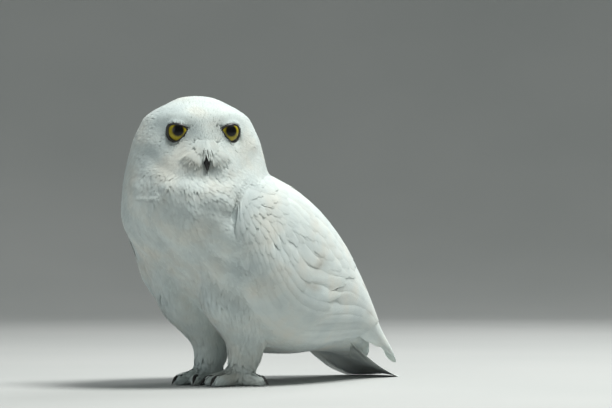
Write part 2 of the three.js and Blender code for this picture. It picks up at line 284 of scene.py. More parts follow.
def headField(p):
    # Upright round sections below, distance from the dome's centre above, squeezed front to back;
    # bell-shaped swellings raise the brows and muzzle, hollows sink the cheeks and chin, and lids
    # go over the eyes.
    q = toHead(p)
    facing = -q[:, 1] / np.maximum(np.hypot(q[:, 0], q[:, 1]), 1e-6)
    share = ease(-0.4, 0.4, facing)
    share = napeDepth(p[:, 2]) * (1 - share) + faceDepth(p[:, 2]) * share
    reach = np.hypot(q[:, 0], q[:, 1] / share)
    up = p[:, 2] - headShape["domeFrom"]
    dome = np.hypot(reach, up) - domeReach(np.arctan2(np.maximum(up, 0), reach))
    column = np.maximum(reach - neckWidth(p[:, 2]), headShape["profile"][-1][1] - p[:, 2])
    field = np.where(up > 0, dome, column)
    lift = 0
    for side, height, rise, spread in (headShape[k] for k in ("brow", "cheekHollow", "muzzle", "chin")):
        away = (np.abs(q[:, 0]) - side) ** 2 + (q[:, 2] - height) ** 2
        lift = lift + rise * np.exp(-away / (2 * spread**2))
    return withLids(field - lift * np.clip(1.6 * facing, 0, 1), q, eyeShape["lidCoat"])


def rodField(p, start, end, radiusA, radiusB):
    # Distance to a straight rod whose radius changes evenly from end to end.
    way = end - start
    share = np.clip(((p - start) @ way) / (way @ way), 0, 1)
    away = np.linalg.norm(p - start - share[:, None] * way, axis=1)
    return away - radiusA - (radiusB - radiusA) * share


trouserUp = sorted(legShape["trouser"])
trouserCurves = [curveThrough(trouserUp, i) for i in (1, 2, 3)]


def toeRod(toe):
    # Start, end and heading of a toe of the left foot.
    turn = np.radians(legShape["toes"][toe][0])
    way = np.array([np.sin(turn), -np.cos(turn), 0])
    start = np.array([legShape["ankle"][0], legShape["ankle"][1] - 6, legShape["soleLift"] + 3])
    end = start + way * legShape["toes"][toe][1]
    end[2] = legShape["soleLift"] - 0.8
    return start, end, way


def legField(p):
    # Both trousers at once, as round upright sections that lean back towards the ankle.
    radius, rear, out = (read(p[:, 2]) for read in trouserCurves)
    across = (np.abs(p[:, 0]) - out) / legShape["trouserNarrow"]
    away = (np.hypot(across, p[:, 1] - rear) - radius) * legShape["trouserLean"]
    return np.maximum(away, np.maximum(p[:, 2] - trouserUp[-1][0], trouserUp[0][0] - p[:, 2]))


def footField(p):
    # Both feet at once: a rod for the shank and one for each toe, cut level at the floor.
    q = p.copy()
    q[:, 0] = np.abs(q[:, 0])
    shank = rodField(q, np.array(legShape["shankTop"]), np.array(legShape["shankEnd"]), *legShape["shank"])
    thick = legShape["toeRadius"]
    toes = [rodField(q, *toeRod(toe)[:2], thick, thick * legShape["toeTaper"]) for toe in legShape["toes"]]
    return np.maximum(softJoin([shank, *toes], 2.5)[0], -p[:, 2])


tailRod = {"from": (0, 112.0, 91), "to": (0, 262.0, 20.0), "radius": (9, 2.5), "flatness": 0.36}


def tailField(p):
    # A flat rod down the middle of the tail, nearly three times as wide as it is thick.
    q = p * np.array([tailRod["flatness"], 1, 1])
    return rodField(q, np.array(tailRod["from"]), np.array(tailRod["to"]), *tailRod["radius"])


def softJoin(fields, softness):
    # The lowest field, with the others blended in near where they meet, and each one's share.
    stack = np.stack(fields)
    lowest = stack.min(0)
    weight = np.exp(-(stack - lowest) / softness)
    total = weight.sum(0)
    return lowest - softness * np.log(total), weight / total


def owlField(p):
    # All parts blended into one, and each part's share of the place.
    return softJoin([trunkField(p), headField(p), legField(p), footField(p), tailField(p)], 2.0)


def slopeOf(field, p, step=0.6):
    # The field and its slope, from small steps along x, y and z.
    here = field(p)
    rise = np.stack([field(p + step * np.eye(3)[i]) - here for i in range(3)], 1) / step
    return here, rise


def setOnto(field, p, level, rounds=2):
    # Slides points along the field's slope until the field there is the wanted level.
    for _ in range(rounds):
        here, rise = slopeOf(field, p)
        p = p - rise * ((here - level) / np.maximum((rise**2).sum(1), 0.05))[:, None]
    return p, unit(rise)


def owlSurface(p):
    # The blended field alone.
    return owlField(p)[0]


def wingPlace(p):
    # Distance along the body's axis and angle round it, in degrees up from the side.
    along, up = alongAndUp(p)
    half, back, breast = (read(along) for read in wingCurves)
    power = boxinessAt(along, up - (back + breast) / 2) / 2
    rise = powered((up - (back + breast) / 2) / ((back - breast) / 2), power)
    out = powered(np.abs(p[:, 0]) / half, power)
    return along, np.degrees(np.arctan2(rise, out))


# The folded wing: distance along the body's axis, lower edge, upper edge in degrees up from the side.
wingEdges = [(-99, 4, 12), (-92, -10, 28), (-50, -41, 56), (-12, -58, 67), (31, -67, 74), (70, -62, 79),
             (120, -46, 83), (170, -36, 85), (220, -27, 86), (262, -14, 82), (288, 8, 66), (298, 26, 42)]
wingLow, wingHigh = (curveThrough(wingEdges, i) for i in (1, 2))


def clumps(p, size, seed):
    # Slow drift over space, mostly between -1 and 1: crossed sine waves in chance directions.
    waves = np.random.default_rng(seed)
    ways = waves.normal(size=(9, 3)) / size
    phase = waves.uniform(0, 2 * np.pi, 9)
    return np.sin(p @ ways.T + phase).sum(1) / 4


# How the coat swells: size and height of its lumps and of the small ones between them, and how
# much less they stand on the wing, the back and the head.
coatLumps = {
    "size": 12.5, "height": 4.1, "smallSize": 7, "smallHeight": 0.6,
    "lessOnWing": 0.5, "lessOnBack": 0.75, "lessOnHead": 0.9,
}


def coatSwell(p):
    # Round lumps with creases between them over small ones, least on the head, the back and the
    # lower legs.
    look, up = coatLumps, p[:, 2]
    lumps = np.sqrt(clumps(p, look["size"], 11) ** 2 + 0.02) - 0.45
    swell = (look["height"] - look["lessOnWing"] * wingShare(p)) * lumps * ease(246, 206, up)
    swell = swell + look["smallHeight"] * clumps(p, look["smallSize"], 12)
    flat = look["lessOnBack"] * ease(15, 45, alongAndUp(p)[1]) * ease(250, 200, up)
    return swell * (1 - flat) * (1 - look["lessOnHead"] * ease(225, 258, up)) * ease(20, 150, up)


# Depth and width of the folds below the face, on an oval of these half widths round it, between
# the legs, and before the wing, this many degrees in front of its edge.
folds = {
    "face": {"depth": 1.7, "narrowness": 7, "oval": (64, 47)},
    "legs": {"depth": 1.3, "width": 11},
    "wing": {"depth": 4.5, "width": 4.5, "before": 5},
}


def coatRelief(p):
    # How far the coat stands out or sinks: its swell and its folds, each a bell-shaped groove.
    q = toHead(p)
    face, legs, wing = (folds[k] for k in ("face", "legs", "wing"))
    ring = np.hypot(q[:, 0] / face["oval"][0], (q[:, 2] - 2) / face["oval"][1]) - 1
    fold = -face["depth"] * np.exp(-(ring * face["narrowness"]) ** 2)
    fold = fold * ease(0, -16, q[:, 2]) * ease(0, -20, q[:, 1])
    between = -legs["depth"] * np.exp(-(p[:, 0] / legs["width"]) ** 2)
    between = between * ease(40, 75, p[:, 2]) * ease(172, 105, p[:, 2])
    along, turn = wingPlace(p)
    edge = np.minimum(turn - wingLow(along), wingHigh(along) - turn)
    front = -wing["depth"] * np.exp(-((edge + wing["before"]) / wing["width"]) ** 2)
    front = front * ease(-104, -92, along) * ease(-60, -84, along)
    front = front * ease(30, 10, turn) * ease(-30, -14, turn)
    return coatSwell(p) + (fold + between + front) * (1 - ease(225, 258, p[:, 2]) * ease(0, 20, q[:, 1]))


def coatSurface(p):
    # The owl's field lowered by the coat's relief, so that it stands out by that much.
    return owlSurface(p) - coatRelief(p)


# Spots on the wing: distance along the axis, degrees up from the side, size.
wingSpots = [(40, 1, 5), (48, -7, 4), (31, -10, 3.5), (152, 30, 5), (176, 8, 4.5)]

# The line of painted shade under the bristle tips along the mouth: beside the bill and outwards, height
# there and how far it rises, thickness.
mouthShadeLine = {"start": 4, "reach": 24, "height": -29.5, "rise": 9, "thick": 1.3}


def spotsAndMouthShade(p):
    # Faint brown spots that a grown bird keeps on the wings, and painted shade along the mouth's line
    # under the bristle tips, which rises outwards from the bill, as a share of brown.
    at, turn = wingPlace(p)
    total = 0
    for spotAt, spotTurn, size in wingSpots:
        away = (at - spotAt) ** 2 + ((turn - spotTurn) * 1.7) ** 2
        total = total + np.exp(-away / (2 * size**2))
    q = toHead(p)
    # Painted shadow of the bristle tips: a dusky line under them along the mouth.
    out = (np.abs(q[:, 0]) - mouthShadeLine["start"]) / mouthShadeLine["reach"]
    above = q[:, 2] - mouthShadeLine["height"] - mouthShadeLine["rise"] * np.clip(out, 0, 1) ** 1.3
    mouthShade = np.exp(-(above / mouthShadeLine["thick"]) ** 2)
    mouthShade = mouthShade * ease(-0.1, 0.1, out) * ease(1.15, 0.7, out) * ease(-20, -40, q[:, 1])
    return np.clip(total * (np.abs(p[:, 0]) > 30) + mouthShade, 0, 1)


coatDepth = {"trunk": 6, "wing": 4.5, "neck": 5, "crown": 4, "face": 3, "leg": 5, "foot": 2.4, "tail": 2}


def faceShare(p):
    # 1 on the face, 0 from the ears back and below the chin.
    q = toHead(p)
    facing = -q[:, 1] / np.maximum(np.hypot(q[:, 0], q[:, 1]), 1e-6)
    return ease(0.1, 0.75, facing) * ease(-52, -30, q[:, 2]) * ease(64, 34, q[:, 2])


def wingShare(p):
    # 1 well inside the folded wing's edges, 0 outside them.
    along, turn = wingPlace(p)
    inside = np.minimum(turn - wingLow(along), wingHigh(along) - turn)
    return ease(2, 14, inside) * ease(-96, -80, along) * ease(190, 160, along)


def depthOf(p, shares):
    # The coat's depth, mixed from each part's own depth by its share of the surface.
    d = coatDepth
    height = ease(225, 262, p[:, 2])
    head = d["neck"] + (d["crown"] - d["neck"]) * height
    head = head + (d["face"] - head) * faceShare(p)
    trunk = d["trunk"] + (d["wing"] - d["trunk"]) * wingShare(p)
    parts = [trunk, head, *(np.full(len(p), d[k]) for k in ("leg", "foot", "tail"))]
    return (np.stack(parts) * shares).sum(0)


def skinField(p):
    # The coat's surface sunk by the coat's depth, and the lids.
    field, shares = owlField(p)
    return withLids(field - coatRelief(p) + depthOf(p, shares), toHead(p), eyeShape["lidSkin"])


def addObject(name, points, faces, maps=None, values=None, smooth=True):
    # Points in millimetres, faces as one array of quads; maps are per point and go to the corners.
    mesh = bpy.data.meshes.new(name)
    faces = np.asarray(faces, np.int32)
    corners = faces.ravel()
    mesh.vertices.add(len(points))
    mesh.vertices.foreach_set("co", ((np.asarray(points) + stance) / 1000).astype(np.float32).ravel())
    mesh.loops.add(len(corners))
    mesh.loops.foreach_set("vertex_index", corners)
    mesh.polygons.add(len(faces))
    mesh.polygons.foreach_set("loop_start", np.arange(0, len(corners), faces.shape[1], dtype=np.int32))
    mesh.update(calc_edges=True)
    for key, uv in (maps or {}).items():
        layer = mesh.uv_layers.new(name=key)
        layer.data.foreach_set("uv", uv[corners].astype(np.float32).ravel())
    for key, value in (values or {}).items():
        attribute = mesh.attributes.new(key, "FLOAT", "POINT")
        attribute.data.foreach_set("value", value.astype(np.float32))
    mesh.polygons.foreach_set("use_smooth", np.full(len(faces), smooth))
    mesh.validate()
    piece = bpy.data.objects.new(name, mesh)
    bpy.context.scene.collection.objects.link(piece)
    return piece


def gridFaces(rows, columns, aroundRows=False, aroundColumns=False):
    # Quads between neighbouring points of a grid, closed on itself where asked.
    r = np.arange(rows if aroundRows else rows - 1)
    c = np.arange(columns if aroundColumns else columns - 1)
    r, c = (x.ravel() for x in np.meshgrid(r, c, indexing="ij"))
    right, down = (c + 1) % columns, (r + 1) % rows
    quad = [r * columns + c, r * columns + right, down * columns + right, down * columns + c]
    return np.stack(quad, 1)


def capped(points, faces, rows, around, inverted=False, both=True):
    # Closes both ends of a sweep, or only the first, with a fan of quads to a middle point.
    ends = []
    for ring, flip in ((0, False), (rows - 1, True))[:2 if both else 1]:
        first = ring * around + np.arange(0, around, 2)
        third = ring * around + (np.arange(2, around + 2, 2) % around)
        quad = np.stack([np.full(len(first), len(points)), third, first + 1, first], 1)
        ends.append(quad[:, ::-1] if flip else quad)
        points = np.concatenate([points, points[ring * around:(ring + 1) * around].mean(0)[None]])
    faces = np.concatenate([faces, *ends])
    return points, faces[:, ::-1] if inverted else faces


def rideAs(piece, slotName, material, *nodes):
    # What every piece needs: its material, the body and the nodes that it stands for. The slot's name is
    # not used.
    piece.data.materials.append(material)
    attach(piece, "root")
    if nodes:
        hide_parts(*nodes)
    return piece


def newMaterial(name, base, roughness, **sockets):
    # A material and its parts, with any of the shader's other sockets set by name.
    material = bpy.data.materials.new(name)
    material.use_nodes = True
    shader = material.node_tree.nodes["Principled BSDF"]
    shader.inputs["Base Color"].default_value = (*base, 1)
    shader.inputs["Roughness"].default_value = roughness
    for key, value in sockets.items():
        shader.inputs[key.replace("_", " ")].default_value = value
    return material, material.node_tree.nodes, material.node_tree.links, shader


def ramp(nodes, stops):
    # A colour ramp through the given stops: place and colour.
    node = nodes.new("ShaderNodeValToRGB")
    ends = node.color_ramp.elements
    while len(ends) < len(stops):
        ends.new(0.5)
    for element, (place, colour) in zip(ends, stops):
        element.position = place
        element.color = (*colour, 1)
    return node


def noise(nodes, links, place, scale, detail):
    # Cloudy noise between 0 and 1, read at a place.
    cloud = nodes.new("ShaderNodeTexNoise")
    cloud.inputs["Scale"].default_value = scale
    cloud.inputs["Detail"].default_value = detail
    links.new(place, cloud.inputs["Vector"])
    return cloud.outputs["Fac"]


def addBump(nodes, links, shader, height, strength):
    # Fine relief, a fifth of a millimetre deep at full strength.
    bump = nodes.new("ShaderNodeBump")
    bump.inputs["Strength"].default_value = strength
    bump.inputs["Distance"].default_value = 0.0002
    links.new(height, bump.inputs["Height"])
    links.new(bump.outputs["Normal"], shader.inputs["Normal"])


plumage = {
    "white": (0.745, 0.81, 0.785),
    "cream": (0.78, 0.79, 0.725),
    "cool": (0.655, 0.735, 0.73),
    "brown": (0.30, 0.25, 0.18),
    "brownest": 0.5,             # share of brown where a marking is full, and where the painted mouth shade is
    "drift": 24,                 # how fast the tint drifts from place to place
    "own": (0.84, 1.06),         # how dark and light single feathers are, by chance and by painted shade in the coat's creases
    "barbBump": 0.2,
}


def scaledBy(nodes, links, colour, factor, low, high):
    # A colour made darker or lighter by a factor stretched between two levels.
    level = nodes.new("ShaderNodeMapRange")
    level.inputs["To Min"].default_value = low
    level.inputs["To Max"].default_value = high
    links.new(factor, level.inputs["Value"])
    shaded = nodes.new("ShaderNodeVectorMath")
    shaded.operation = "SCALE"
    links.new(colour, shaded.inputs[0])
    links.new(level.outputs["Result"], shaded.inputs["Scale"])
    return shaded.outputs["Vector"]


def plumageMaterial(name, barbWidth):
    # White with slow drifts of cream and cool grey, each vane a little different and darker by
    # painted shade in the coat's creases, faint brown where the markings and the painted shade
    # under the bristles along the mouth are, and fine barbs that leave the quill at a slant.
    material, nodes, links, shader = newMaterial(
        name, plumage["white"], 0.8, Sheen_Weight=0.2, Sheen_Roughness=0.5,
        Subsurface_Weight=0.25, Subsurface_Scale=0.004, Specular_IOR_Level=0.25)
    shader.inputs["Subsurface Radius"].default_value = (1, 0.95, 0.9)
    where = nodes.new("ShaderNodeTexCoord")
    tint = ramp(nodes, [(0.32, plumage["cool"]), (0.5, plumage["white"]), (0.7, plumage["cream"])])
    links.new(noise(nodes, links, where.outputs["Object"], plumage["drift"], 3), tint.inputs["Fac"])
    own = nodes.new("ShaderNodeAttribute")
    own.attribute_name = "vane"
    colour = scaledBy(nodes, links, tint.outputs["Color"], own.outputs["Fac"], *plumage["own"])
    mark = nodes.new("ShaderNodeAttribute")
    mark.attribute_name = "mark"
    browned = nodes.new("ShaderNodeMix")
    browned.data_type = "RGBA"
    links.new(colour, browned.inputs["A"])
    browned.inputs["B"].default_value = (*plumage["brown"], 1)
    share = nodes.new("ShaderNodeMath")
    share.operation = "MULTIPLY"
    share.inputs[1].default_value = plumage["brownest"]
    links.new(mark.outputs["Fac"], share.inputs[0])
    links.new(share.outputs["Value"], browned.inputs["Factor"])
    links.new(browned.outputs["Result"], shader.inputs["Base Color"])
    if barbWidth:
        lie = nodes.new("ShaderNodeUVMap")
        lie.uv_map = "Lie"
        barb = nodes.new("ShaderNodeTexWave")
        barb.inputs["Scale"].default_value = 0.314 / barbWidth      # waves per millimetre
        barb.inputs["Distortion"].default_value = 0.7
        barb.inputs["Detail"].default_value = 1
        links.new(lie.outputs["UV"], barb.inputs["Vector"])
        addBump(nodes, links, shader, barb.outputs["Fac"], plumage["barbBump"])
    return material


def scuffedBlack(name, look):
    # A near black that pales and dulls where a fine noise is high, with the noise as its relief.
    material, nodes, links, shader = newMaterial(name, look["dark"], look["sheen"][0])
    where = nodes.new("ShaderNodeTexCoord")
    scuff = noise(nodes, links, where.outputs["Object"], look["grain"], 5)
    dull = nodes.new("ShaderNodeMapRange")
    dull.inputs["To Min"].default_value, dull.inputs["To Max"].default_value = look["sheen"]
    links.new(scuff, dull.inputs["Value"])
    links.new(dull.outputs["Result"], shader.inputs["Roughness"])
    tone = ramp(nodes, [(0.35, look["dark"]), (0.75, look["pale"])])
    links.new(scuff, tone.inputs["Fac"])
    links.new(tone.outputs["Color"], shader.inputs["Base Color"])
    addBump(nodes, links, shader, scuff, look["relief"])
    return material


softWhite = plumageMaterial("soft white plumage", 0.55)
vaneWhite = plumageMaterial("white vane plumage", 0.6)
skinWhite = plumageMaterial("downy skin", 0)
print("materials ready")


def surfaceOf(field, low, high, step):
    # A closed surface where the field changes sign. Space is cut into cubes; each cube that the
    # surface crosses holds one point, slid onto it along the field's slope, and each cube edge
    # that crosses it gives a quad between the four cubes round that edge.
    ticks = [np.arange(low[i], high[i] + step, step) for i in range(3)]
    size = tuple(len(t) for t in ticks)
    space = np.stack(np.meshgrid(*ticks, indexing="ij"), -1).reshape(-1, 3)
    value = np.concatenate([field(part) for part in np.array_split(space, 24)]).reshape(size)
    inside = value < 0
    count = sum(inside[i:size[0] - 1 + i, j:size[1] - 1 + j, k:size[2] - 1 + k].astype(np.int8)
                for i, j, k in product((0, 1), repeat=3))
    crossed = (count > 0) & (count < 8)
    number = np.full(crossed.shape, -1)
    number[crossed] = np.arange(crossed.sum())
    points = np.array(low) + (np.argwhere(crossed) + 0.5) * step
    points = setOnto(field, points, 0, 3)[0]
    faces = []
    for way in range(3):
        turned = np.moveaxis(inside, way, 0)
        cells = np.moveaxis(number, way, 0)
        cut = np.argwhere(turned[:-1, 1:-1, 1:-1] != turned[1:, 1:-1, 1:-1]) + (0, 1, 1)
        a, b, c = cut.T
        quad = [cells[a, b - 1, c - 1], cells[a, b, c - 1], cells[a, b, c], cells[a, b - 1, c]]
        quad = np.stack(quad, 1)
        leaving = turned[a, b, c]
        if way == 1:
            leaving = ~leaving
        faces.append(np.where(leaving[:, None], quad, quad[:, ::-1]))
    return points, np.concatenate(faces)


def eyeFrame(side, facing):
    # Middle of an eye in the owl's frame, and its outward, up and forward ways.
    mirror = np.array([side, 1, 1])
    middle = fromHead(np.array(eyeShape["place"]) * mirror)
    return middle, *((way * mirror) @ headWays for way in eyeWays(facing))


def eyeRadius(fromGaze):
    # The ball's radius by the angle from its gaze: round, with a low dome of cornea in front.
    return eyeShape["ball"] + eyeShape["bulge"] * (1 - ease(0.2, 0.95, fromGaze))


eyelid = {
    "around": 96, "across": 12, "proud": 0.75, "tuckedIn": 2.2,
    "dark": (0.012, 0.0115, 0.011), "pale": (0.030, 0.028, 0.026),
    "sheen": (0.34, 0.55), "grain": 950, "relief": 0.35,
}


def lidRing(side):
    # A band round the opening that follows the eyeball: its section is a half sine, the inner edge
    # lies on the ball, and the outer edge is tucked under the feathers.
    middle, lateral, up, forward = eyeFrame(side, eyeShape["lidFacing"])
    gaze = eyeFrame(side, eyeShape["gaze"])[3]
    turn = np.linspace(0, 2 * np.pi, eyelid["around"], endpoint=False)[:, None]
    share = np.linspace(0, 1, eyelid["across"], endpoint=False)[None, :]
    band = np.where(share < 0.5, share * 2, 2 - share * 2)       # out over the top, back underneath
    reach = lidReach(turn) + (lidWidth(turn) + eyelid["tuckedIn"]) * band
    depth = np.sqrt(np.maximum(eyeShape["rim"] ** 2 - reach**2, 9))
    ray = unit(lateral * (reach * np.cos(turn))[..., None] + up * (reach * np.sin(turn))[..., None]
               + forward * depth[..., None])
    proud = np.where(share < 0.5, 0.3 + np.sin(np.pi * band**0.7) * eyelid["proud"] + 0.25 * band, -1.2)
    radius = eyeRadius(np.arccos(np.clip(ray @ gaze, -1, 1))) + proud
    faces = gridFaces(eyelid["around"], eyelid["across"], True, True)
    points = middle + ray * radius[..., None]
    return points.reshape(-1, 3), faces if side > 0 else faces[:, ::-1]


skinStep = 2.5
skinPoints, skinFaces = surfaceOf(skinField, (-112, -132, -6), (112, 272, 336), skinStep)
print("skin worked out:", len(skinPoints), "points")

lids = [lidRing(side) for side in (1, -1)]
wholePoints, wholeFaces, lidMark = [skinPoints], [skinFaces], [np.zeros(len(skinPoints))]
for points, faces in lids:
    wholeFaces.append(faces + sum(len(part) for part in wholePoints))
    wholePoints.append(points)
    lidMark.append(np.ones(len(points)))
wholePoints, wholeFaces = np.concatenate(wholePoints), np.concatenate(wholeFaces)
lidMark = np.concatenate(lidMark)

lidBlack = scuffedBlack("black eyelid", eyelid)
skinValues = {"vane": np.full(len(wholePoints), 0.3), "mark": spotsAndMouthShade(wholePoints)}
skin = addObject("skin", wholePoints, wholeFaces, values=skinValues)
fleshNodes = ["head", "neck", "trunk", "tail"] + [
    f"{part}_{side}" for part in ("wing", "leg", "foot") for side in ("left", "right")]
rideAs(skin, "plumage", skinWhite, *fleshNodes)
skin.data.materials.append(lidBlack)
onLid = lidMark[wholeFaces[:, 0]] > 0
skin.data.polygons.foreach_set("material_index", onLid.astype(np.int32))


def irisMaterial():
    # Golden yellow with fine spokes, darker at both rims, a black pupil, dark behind the rim. The
    # map's x is the angle from the gaze and its y the angle round it, both in radians.
    material, nodes, links, shader = newMaterial(
        "golden iris", (0.4, 0.3, 0.01), 0.3,
        Coat_Weight=0.35, Coat_Roughness=0.05, Specular_IOR_Level=0.15)
    place = nodes.new("ShaderNodeUVMap")
    place.uv_map = "Lie"
    parts = nodes.new("ShaderNodeSeparateXYZ")
    links.new(place.outputs["UV"], parts.inputs["Vector"])
    front = eyeShape["ball"] + eyeShape["bulge"] * 0.7
    pupil, limbus = (np.arcsin(eyeShape[k] / front) for k in ("pupil", "limbus"))
    rims = ramp(nodes, [
        (pupil - 0.02, (0.002, 0.002, 0.002)), (pupil + 0.02, (0.09, 0.07, 0.004)),
        (pupil + 0.13, (0.33, 0.27, 0.010)), (limbus - 0.17, (0.34, 0.27, 0.008)),
        (limbus - 0.06, (0.10, 0.075, 0.004)), (limbus, (0.008, 0.007, 0.006)),
    ])
    links.new(parts.outputs["X"], rims.inputs["Fac"])
    stretch = nodes.new("ShaderNodeMapping")
    stretch.inputs["Scale"].default_value = (2.5, 16, 1)
    links.new(place.outputs["UV"], stretch.inputs["Vector"])
    spokes = noise(nodes, links, stretch.outputs["Vector"], 1, 4)
    links.new(scaledBy(nodes, links, rims.outputs["Color"], spokes, 0.55, 1.4), shader.inputs["Base Color"])
    return material


irisGold = irisMaterial()


def addEye(side, word, rings=40, around=64):
    # Rings at even angles from the gaze, each at the ball's radius for that angle.
    middle, lateral, up, forward = eyeFrame(side, eyeShape["gaze"])
    fromGaze = np.linspace(0.01, np.pi - 0.01, rings)[:, None]
    turn = np.linspace(0, 2 * np.pi, around, endpoint=False)[None, :]
    out = np.sin(fromGaze)
    ring = (out * np.cos(turn), out * np.sin(turn), np.cos(fromGaze) + 0 * turn)
    ways = sum(share[..., None] * way for share, way in zip(ring, (lateral, up, forward)))
    points = middle + ways * eyeRadius(fromGaze)[..., None]
    lie = np.stack([fromGaze + 0 * turn, np.abs(turn - np.pi) + 0 * fromGaze], -1)
    faces = gridFaces(rings, around, False, True)
    shape = capped(points.reshape(-1, 3), faces, rings, around, side > 0)
    ball = addObject(f"eyeball_{word}", *shape,
                     {"Lie": np.concatenate([lie.reshape(-1, 2), [[0, 0], [np.pi, 0]]])})
    rideAs(ball, "iris", irisGold, f"eye_{word}")


for side, word in ((1, "left"), (-1, "right")):
    addEye(side, word)
print("eyes made")


def bent(points, share):
    # A point on the smooth curve that three or four guide points pull (Bezier).
    p = [np.asarray(x, float) for x in points]
    s = share[:, None]
    while len(p) > 1:
        p = [a * (1 - s) + b * s for a, b in zip(p[:-1], p[1:])]
    return p[0]


def hornSweep(guides, across, radius, flatness, rows=28, around=24, ridge=0.0):
    # A section carried along a curve: an ellipse, drawn up to a ridge along its top, that
    # shrinks by the given radius curve to a rounded point.
    share = np.linspace(0, 1, rows) ** 0.8
    middle = bent(guides, share)
    along = unit(np.gradient(middle, axis=0))
    across = np.asarray(across, float)
    up = unit(np.cross(np.broadcast_to(across, along.shape), along))
    turn = np.linspace(0, 2 * np.pi, around, endpoint=False)
    size = radius(share)[:, None]
    side = size * np.cos(turn) * (1 - ridge * np.maximum(np.sin(turn), 0))
    rise = size * flatness * np.sin(turn)
    points = middle[:, None] + across * side[..., None] + up[:, None] * rise[..., None]
    faces = gridFaces(rows, around, False, True)
    return points.reshape(-1, 3), faces, rows, around


horn = {
    "dark": (0.006, 0.0055, 0.005), "pale": (0.030, 0.028, 0.026),
    "sheen": (0.3, 0.6), "grain": 420, "relief": 0.2,
}
blackHorn = scuffedBlack("black horn", horn)


def addBill():
    # Two horns that taper to points, the upper one bent down over the lower.
    (rootY, rootZ), (tipY, tipZ) = billShape["root"], billShape["tip"]
    wide = billShape["halfWidth"]
    tall = billShape["halfHeight"] / wide
    ridge = ((0, y, z) for y, z in billShape["ridge"])
    upper = fromHead([(0, rootY, rootZ), *ridge, (0, tipY + 1.8, tipZ)])
    lower = fromHead([(0, rootY + 2, rootZ - 12), (0, tipY + 6, rootZ - 14), (0, tipY + 4.5, tipZ + 4)])
    across = -headWays[0]
    for name, guides, radius, flat, crest in (
            ("bill_upper_horn", upper, lambda s: wide * (1 - s**1.9) ** 0.62 + 0.25, tall, 0.35),
            ("bill_lower_horn", lower, lambda s: 4.6 * (1 - s**2.2) ** 0.6 + 0.25, 0.8, 0.0)):
        piece = addObject(name, *capped(*hornSweep(list(guides), across, radius, flat, ridge=crest)))
        rideAs(piece, "horn", blackHorn, name.replace("_horn", ""))


def addClaws():
    # Each claw is a curved cone from inside its toe down to just over the floor.
    allPoints, allFaces, count = [], [], 0
    for side in (1, -1):
        mirror = np.array([side, 1, 1])
        for toe in legShape["toes"]:
            _, end, way = toeRod(toe)
            base = end - way * legShape["clawRoot"][0] + (0, 0, legShape["clawRoot"][1])
            crest = base + way * legShape["clawLength"] * legShape["clawCrest"][0]
            crest[2] = legShape["soleLift"] + legShape["clawCrest"][1]
            tip = base + way * legShape["clawLength"]
            tip[2] = legShape["clawTip"]
            across = np.array([-way[1], way[0], 0])
            radius = lambda s: legShape["clawRadius"] * (1 - s) ** 0.72 + 0.2
            sweep = hornSweep([base, crest, tip], across, radius, 1.15, rows=18, around=14)
            points, faces = capped(*sweep, inverted=side < 0)
            allPoints.append(points * mirror)
            allFaces.append(faces + count)
            count += len(points)
    claws = addObject("claws", np.concatenate(allPoints), np.concatenate(allFaces))
    nodes = [f"claw_{word}_{toe}" for word in ("left", "right") for toe in legShape["toes"]]
    rideAs(claws, "horn", blackHorn, *nodes)


addBill()
addClaws()
print("bill and claws made")


def onTangent(v, normal):
    # The part of a vector that lies along the surface.
    return v - normal * dot(v, normal)


def aroundEyes(q):
    # From the middle of the nearer eye's opening to each point of the head, seen from in front.
    x, _, z = eyeShape["place"]
    return np.stack([np.abs(q[:, 0]) - x - 4, q[:, 2] - z + 2], 1)


# How far round an eye's opening the coat turns away from it, how strongly, and the same right
# beside its lid.
lieLook = {"eyeReach": 19, "eyePull": 2.2, "lidReach": 2.2, "lidPull": 7, "pastLid": 1.5}


def lieOf(p, normal):
    # The way that feathers point: down the trunk along its axis; on the head away from the bill,
    # and round the eyes away from each eye; down the neck and legs; outwards along the toes.
    shares = owlField(p)[1]
    q = toHead(p)
    outX = np.sign(q[:, 0])
    face = faceShare(p)[:, None]
    fromBill = unit(q - (0, -60, -8))
    overBack = np.stack([0 * outX, 0.75 + 0 * outX, -0.66 - 1.5 * ease(262, 225, p[:, 2])], 1)
    headLie = fromBill * face + overBack * (1 - face)
    fromEye = aroundEyes(q)
    near = np.exp(-(fromEye**2).sum(1) / (2 * lieLook["eyeReach"]**2)) * ease(-14, 6, fromEye[:, 0])
    away = unit(np.stack([fromEye[:, 0] * outX, np.full(len(p), 6.0), fromEye[:, 1]], 1))
    headLie = headLie + away * (lieLook["eyePull"] * near)[:, None] * face
    against = np.clip(-dot(away, fromBill), 0, 1)
    passing = unit(fromBill - away * dot(away, fromBill))       # past the eye, along its lid
    beside = away * (1 - against) + passing * lieLook["pastLid"] * against
    close = np.exp(-np.maximum(eyeSight(q)[0], 0) / lieLook["lidReach"])
    headLie = headLie + beside * (lieLook["lidPull"] * close)[:, None]
    below = (ease(-22, -38, q[:, 2]) * ease(34, 12, np.abs(q[:, 0])))[:, None] * face
    headLie = headLie * (1 - below) + np.array([0, 0, -1.0]) * below
    headLie = unit(headLie) @ headWays
    ankle = np.stack([np.sign(p[:, 0]) * legShape["ankle"][0], np.full(len(p), legShape["ankle"][1]),
                      p[:, 2]], 1)
    footLie = unit(p - ankle) * ease(34, 12, p[:, 2])[:, None] + np.array([0, 0, -0.8])
    legLie = np.broadcast_to(np.array([0, 0.18, -1.0]), p.shape)
    parts = [np.broadcast_to(axis, p.shape), headLie, legLie, footLie, np.broadcast_to(axis, p.shape)]
    mixed = sum(part * share[:, None] for part, share in zip(parts, shares))
    return unit(onTangent(mixed, normal))


